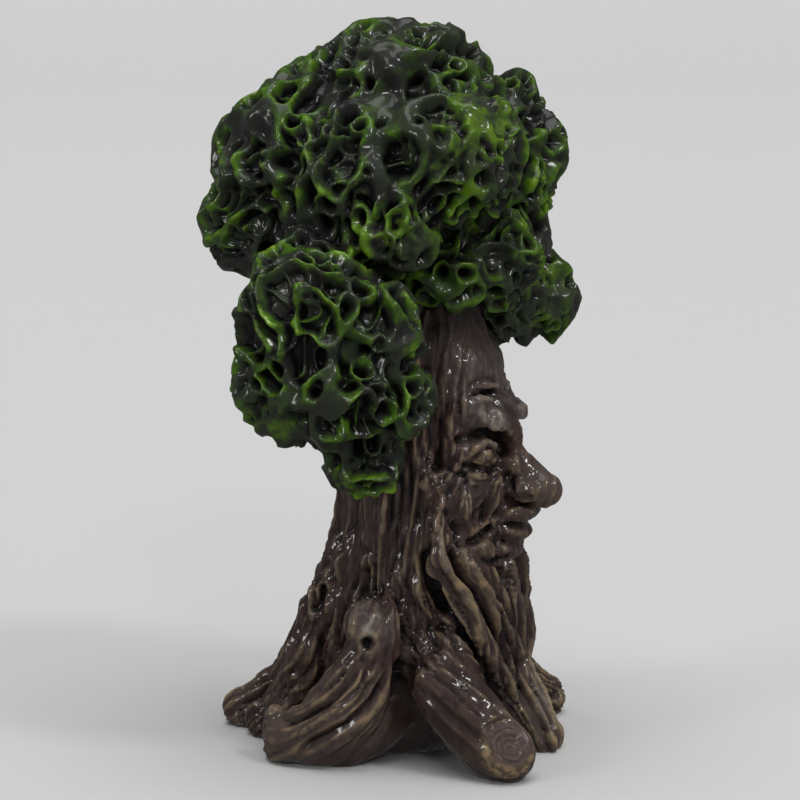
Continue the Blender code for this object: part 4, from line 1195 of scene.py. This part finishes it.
bpy.context.scene.collection.objects.link(floor)
floor_paint = bpy.data.materials.new("floor")
floor_paint.use_nodes = True
floor_shader = floor_paint.node_tree.nodes["Principled BSDF"]
floor_shader.inputs["Base Color"].default_value = (FLOOR_GREY, FLOOR_GREY, FLOOR_GREY, 1)
floor_shader.inputs["Roughness"].default_value = 0.9
floor_shader.inputs["Specular IOR Level"].default_value = 0.1
floor_mesh.materials.append(floor_paint)
floor.visible_glossy = False  # the varnish would mirror it as a grey veil

VIEW_TURN = math.radians(-72)
VIEW_RISE = math.radians(9)
VIEW_DISTANCE = 0.42
VIEW_HEIGHT = 0.0477
VIEW_TARGET = Vector((STANCE[0] * MM, STANCE[1] * MM, VIEW_HEIGHT))
LENS = 138.2
FRAME_SIDE = 800
FRAME_SHIFT = 3  # how many pixels the tree stands left of the middle
level_back = Vector((math.sin(VIEW_TURN), -math.cos(VIEW_TURN), 0))
back = level_back * math.cos(VIEW_RISE) + Vector((0, 0, math.sin(VIEW_RISE)))
right = Vector((math.cos(VIEW_TURN), math.sin(VIEW_TURN), 0))
up = back.cross(right)
camera_data = bpy.data.cameras.new("camera")
camera_data.lens = LENS
camera_data.sensor_width = 36
camera_data.shift_x = FRAME_SHIFT / FRAME_SIDE
camera_data.clip_start = 0.01
camera = bpy.data.objects.new("camera", camera_data)
facing = Matrix((right, up, back)).transposed().to_4x4()
camera.matrix_world = Matrix.Translation(VIEW_TARGET + back * VIEW_DISTANCE) @ facing
bpy.context.scene.collection.objects.link(camera)
bpy.context.scene.camera = camera


def far_lamp(name, offset, spread, strength, mirrored_in_varnish=True):
    """A lamp far off that way (to the right, up and towards the camera), as wide as spread in degrees."""
    lamp = bpy.data.lights.new(name, "SUN")
    lamp.angle = math.radians(spread)
    lamp.energy = strength
    holder = bpy.data.objects.new(name, lamp)
    way = right * offset[0] + Vector((0, 0, offset[1])) + level_back * offset[2]
    holder.rotation_euler = way.to_track_quat("Z", "Y").to_euler()
    holder.visible_glossy = mirrored_in_varnish
    bpy.context.scene.collection.objects.link(holder)


far_lamp("key", (0.50, 0.75, 0.42), 11, 0.65)
far_lamp("key_glow", (0.40, 0.75, 0.50), 70, 0.65, False)
far_lamp("fill", (-0.75, 0.40, 0.55), 14, 0.5)
far_lamp("spark", (0.15, 0.50, 0.85), 7, 0.25)
far_lamp("top_glow", (-0.10, 1.0, 0.10), 40, 0.6)
CEILING_SIZE = 5.2
CEILING_HEIGHT = 4.5
CEILING_POWER = 160
ROOM_GLOW = 0.09
ceiling = bpy.data.lights.new("ceiling", "AREA")
ceiling.shape = "DISK"
ceiling.size = CEILING_SIZE
ceiling.energy = CEILING_POWER
ceiling_holder = bpy.data.objects.new("ceiling", ceiling)
ceiling_holder.location = (0, 0, CEILING_HEIGHT)
ceiling_holder.visible_glossy = False
bpy.context.scene.collection.objects.link(ceiling_holder)
world = bpy.data.worlds.new("studio")
bpy.context.scene.world = world
world.use_nodes = True
background = world.node_tree.nodes["Background"]
background.inputs["Color"].default_value = (1, 1, 1, 1)
background.inputs["Strength"].default_value = ROOM_GLOW
bpy.context.scene.view_settings.view_transform = "Standard"
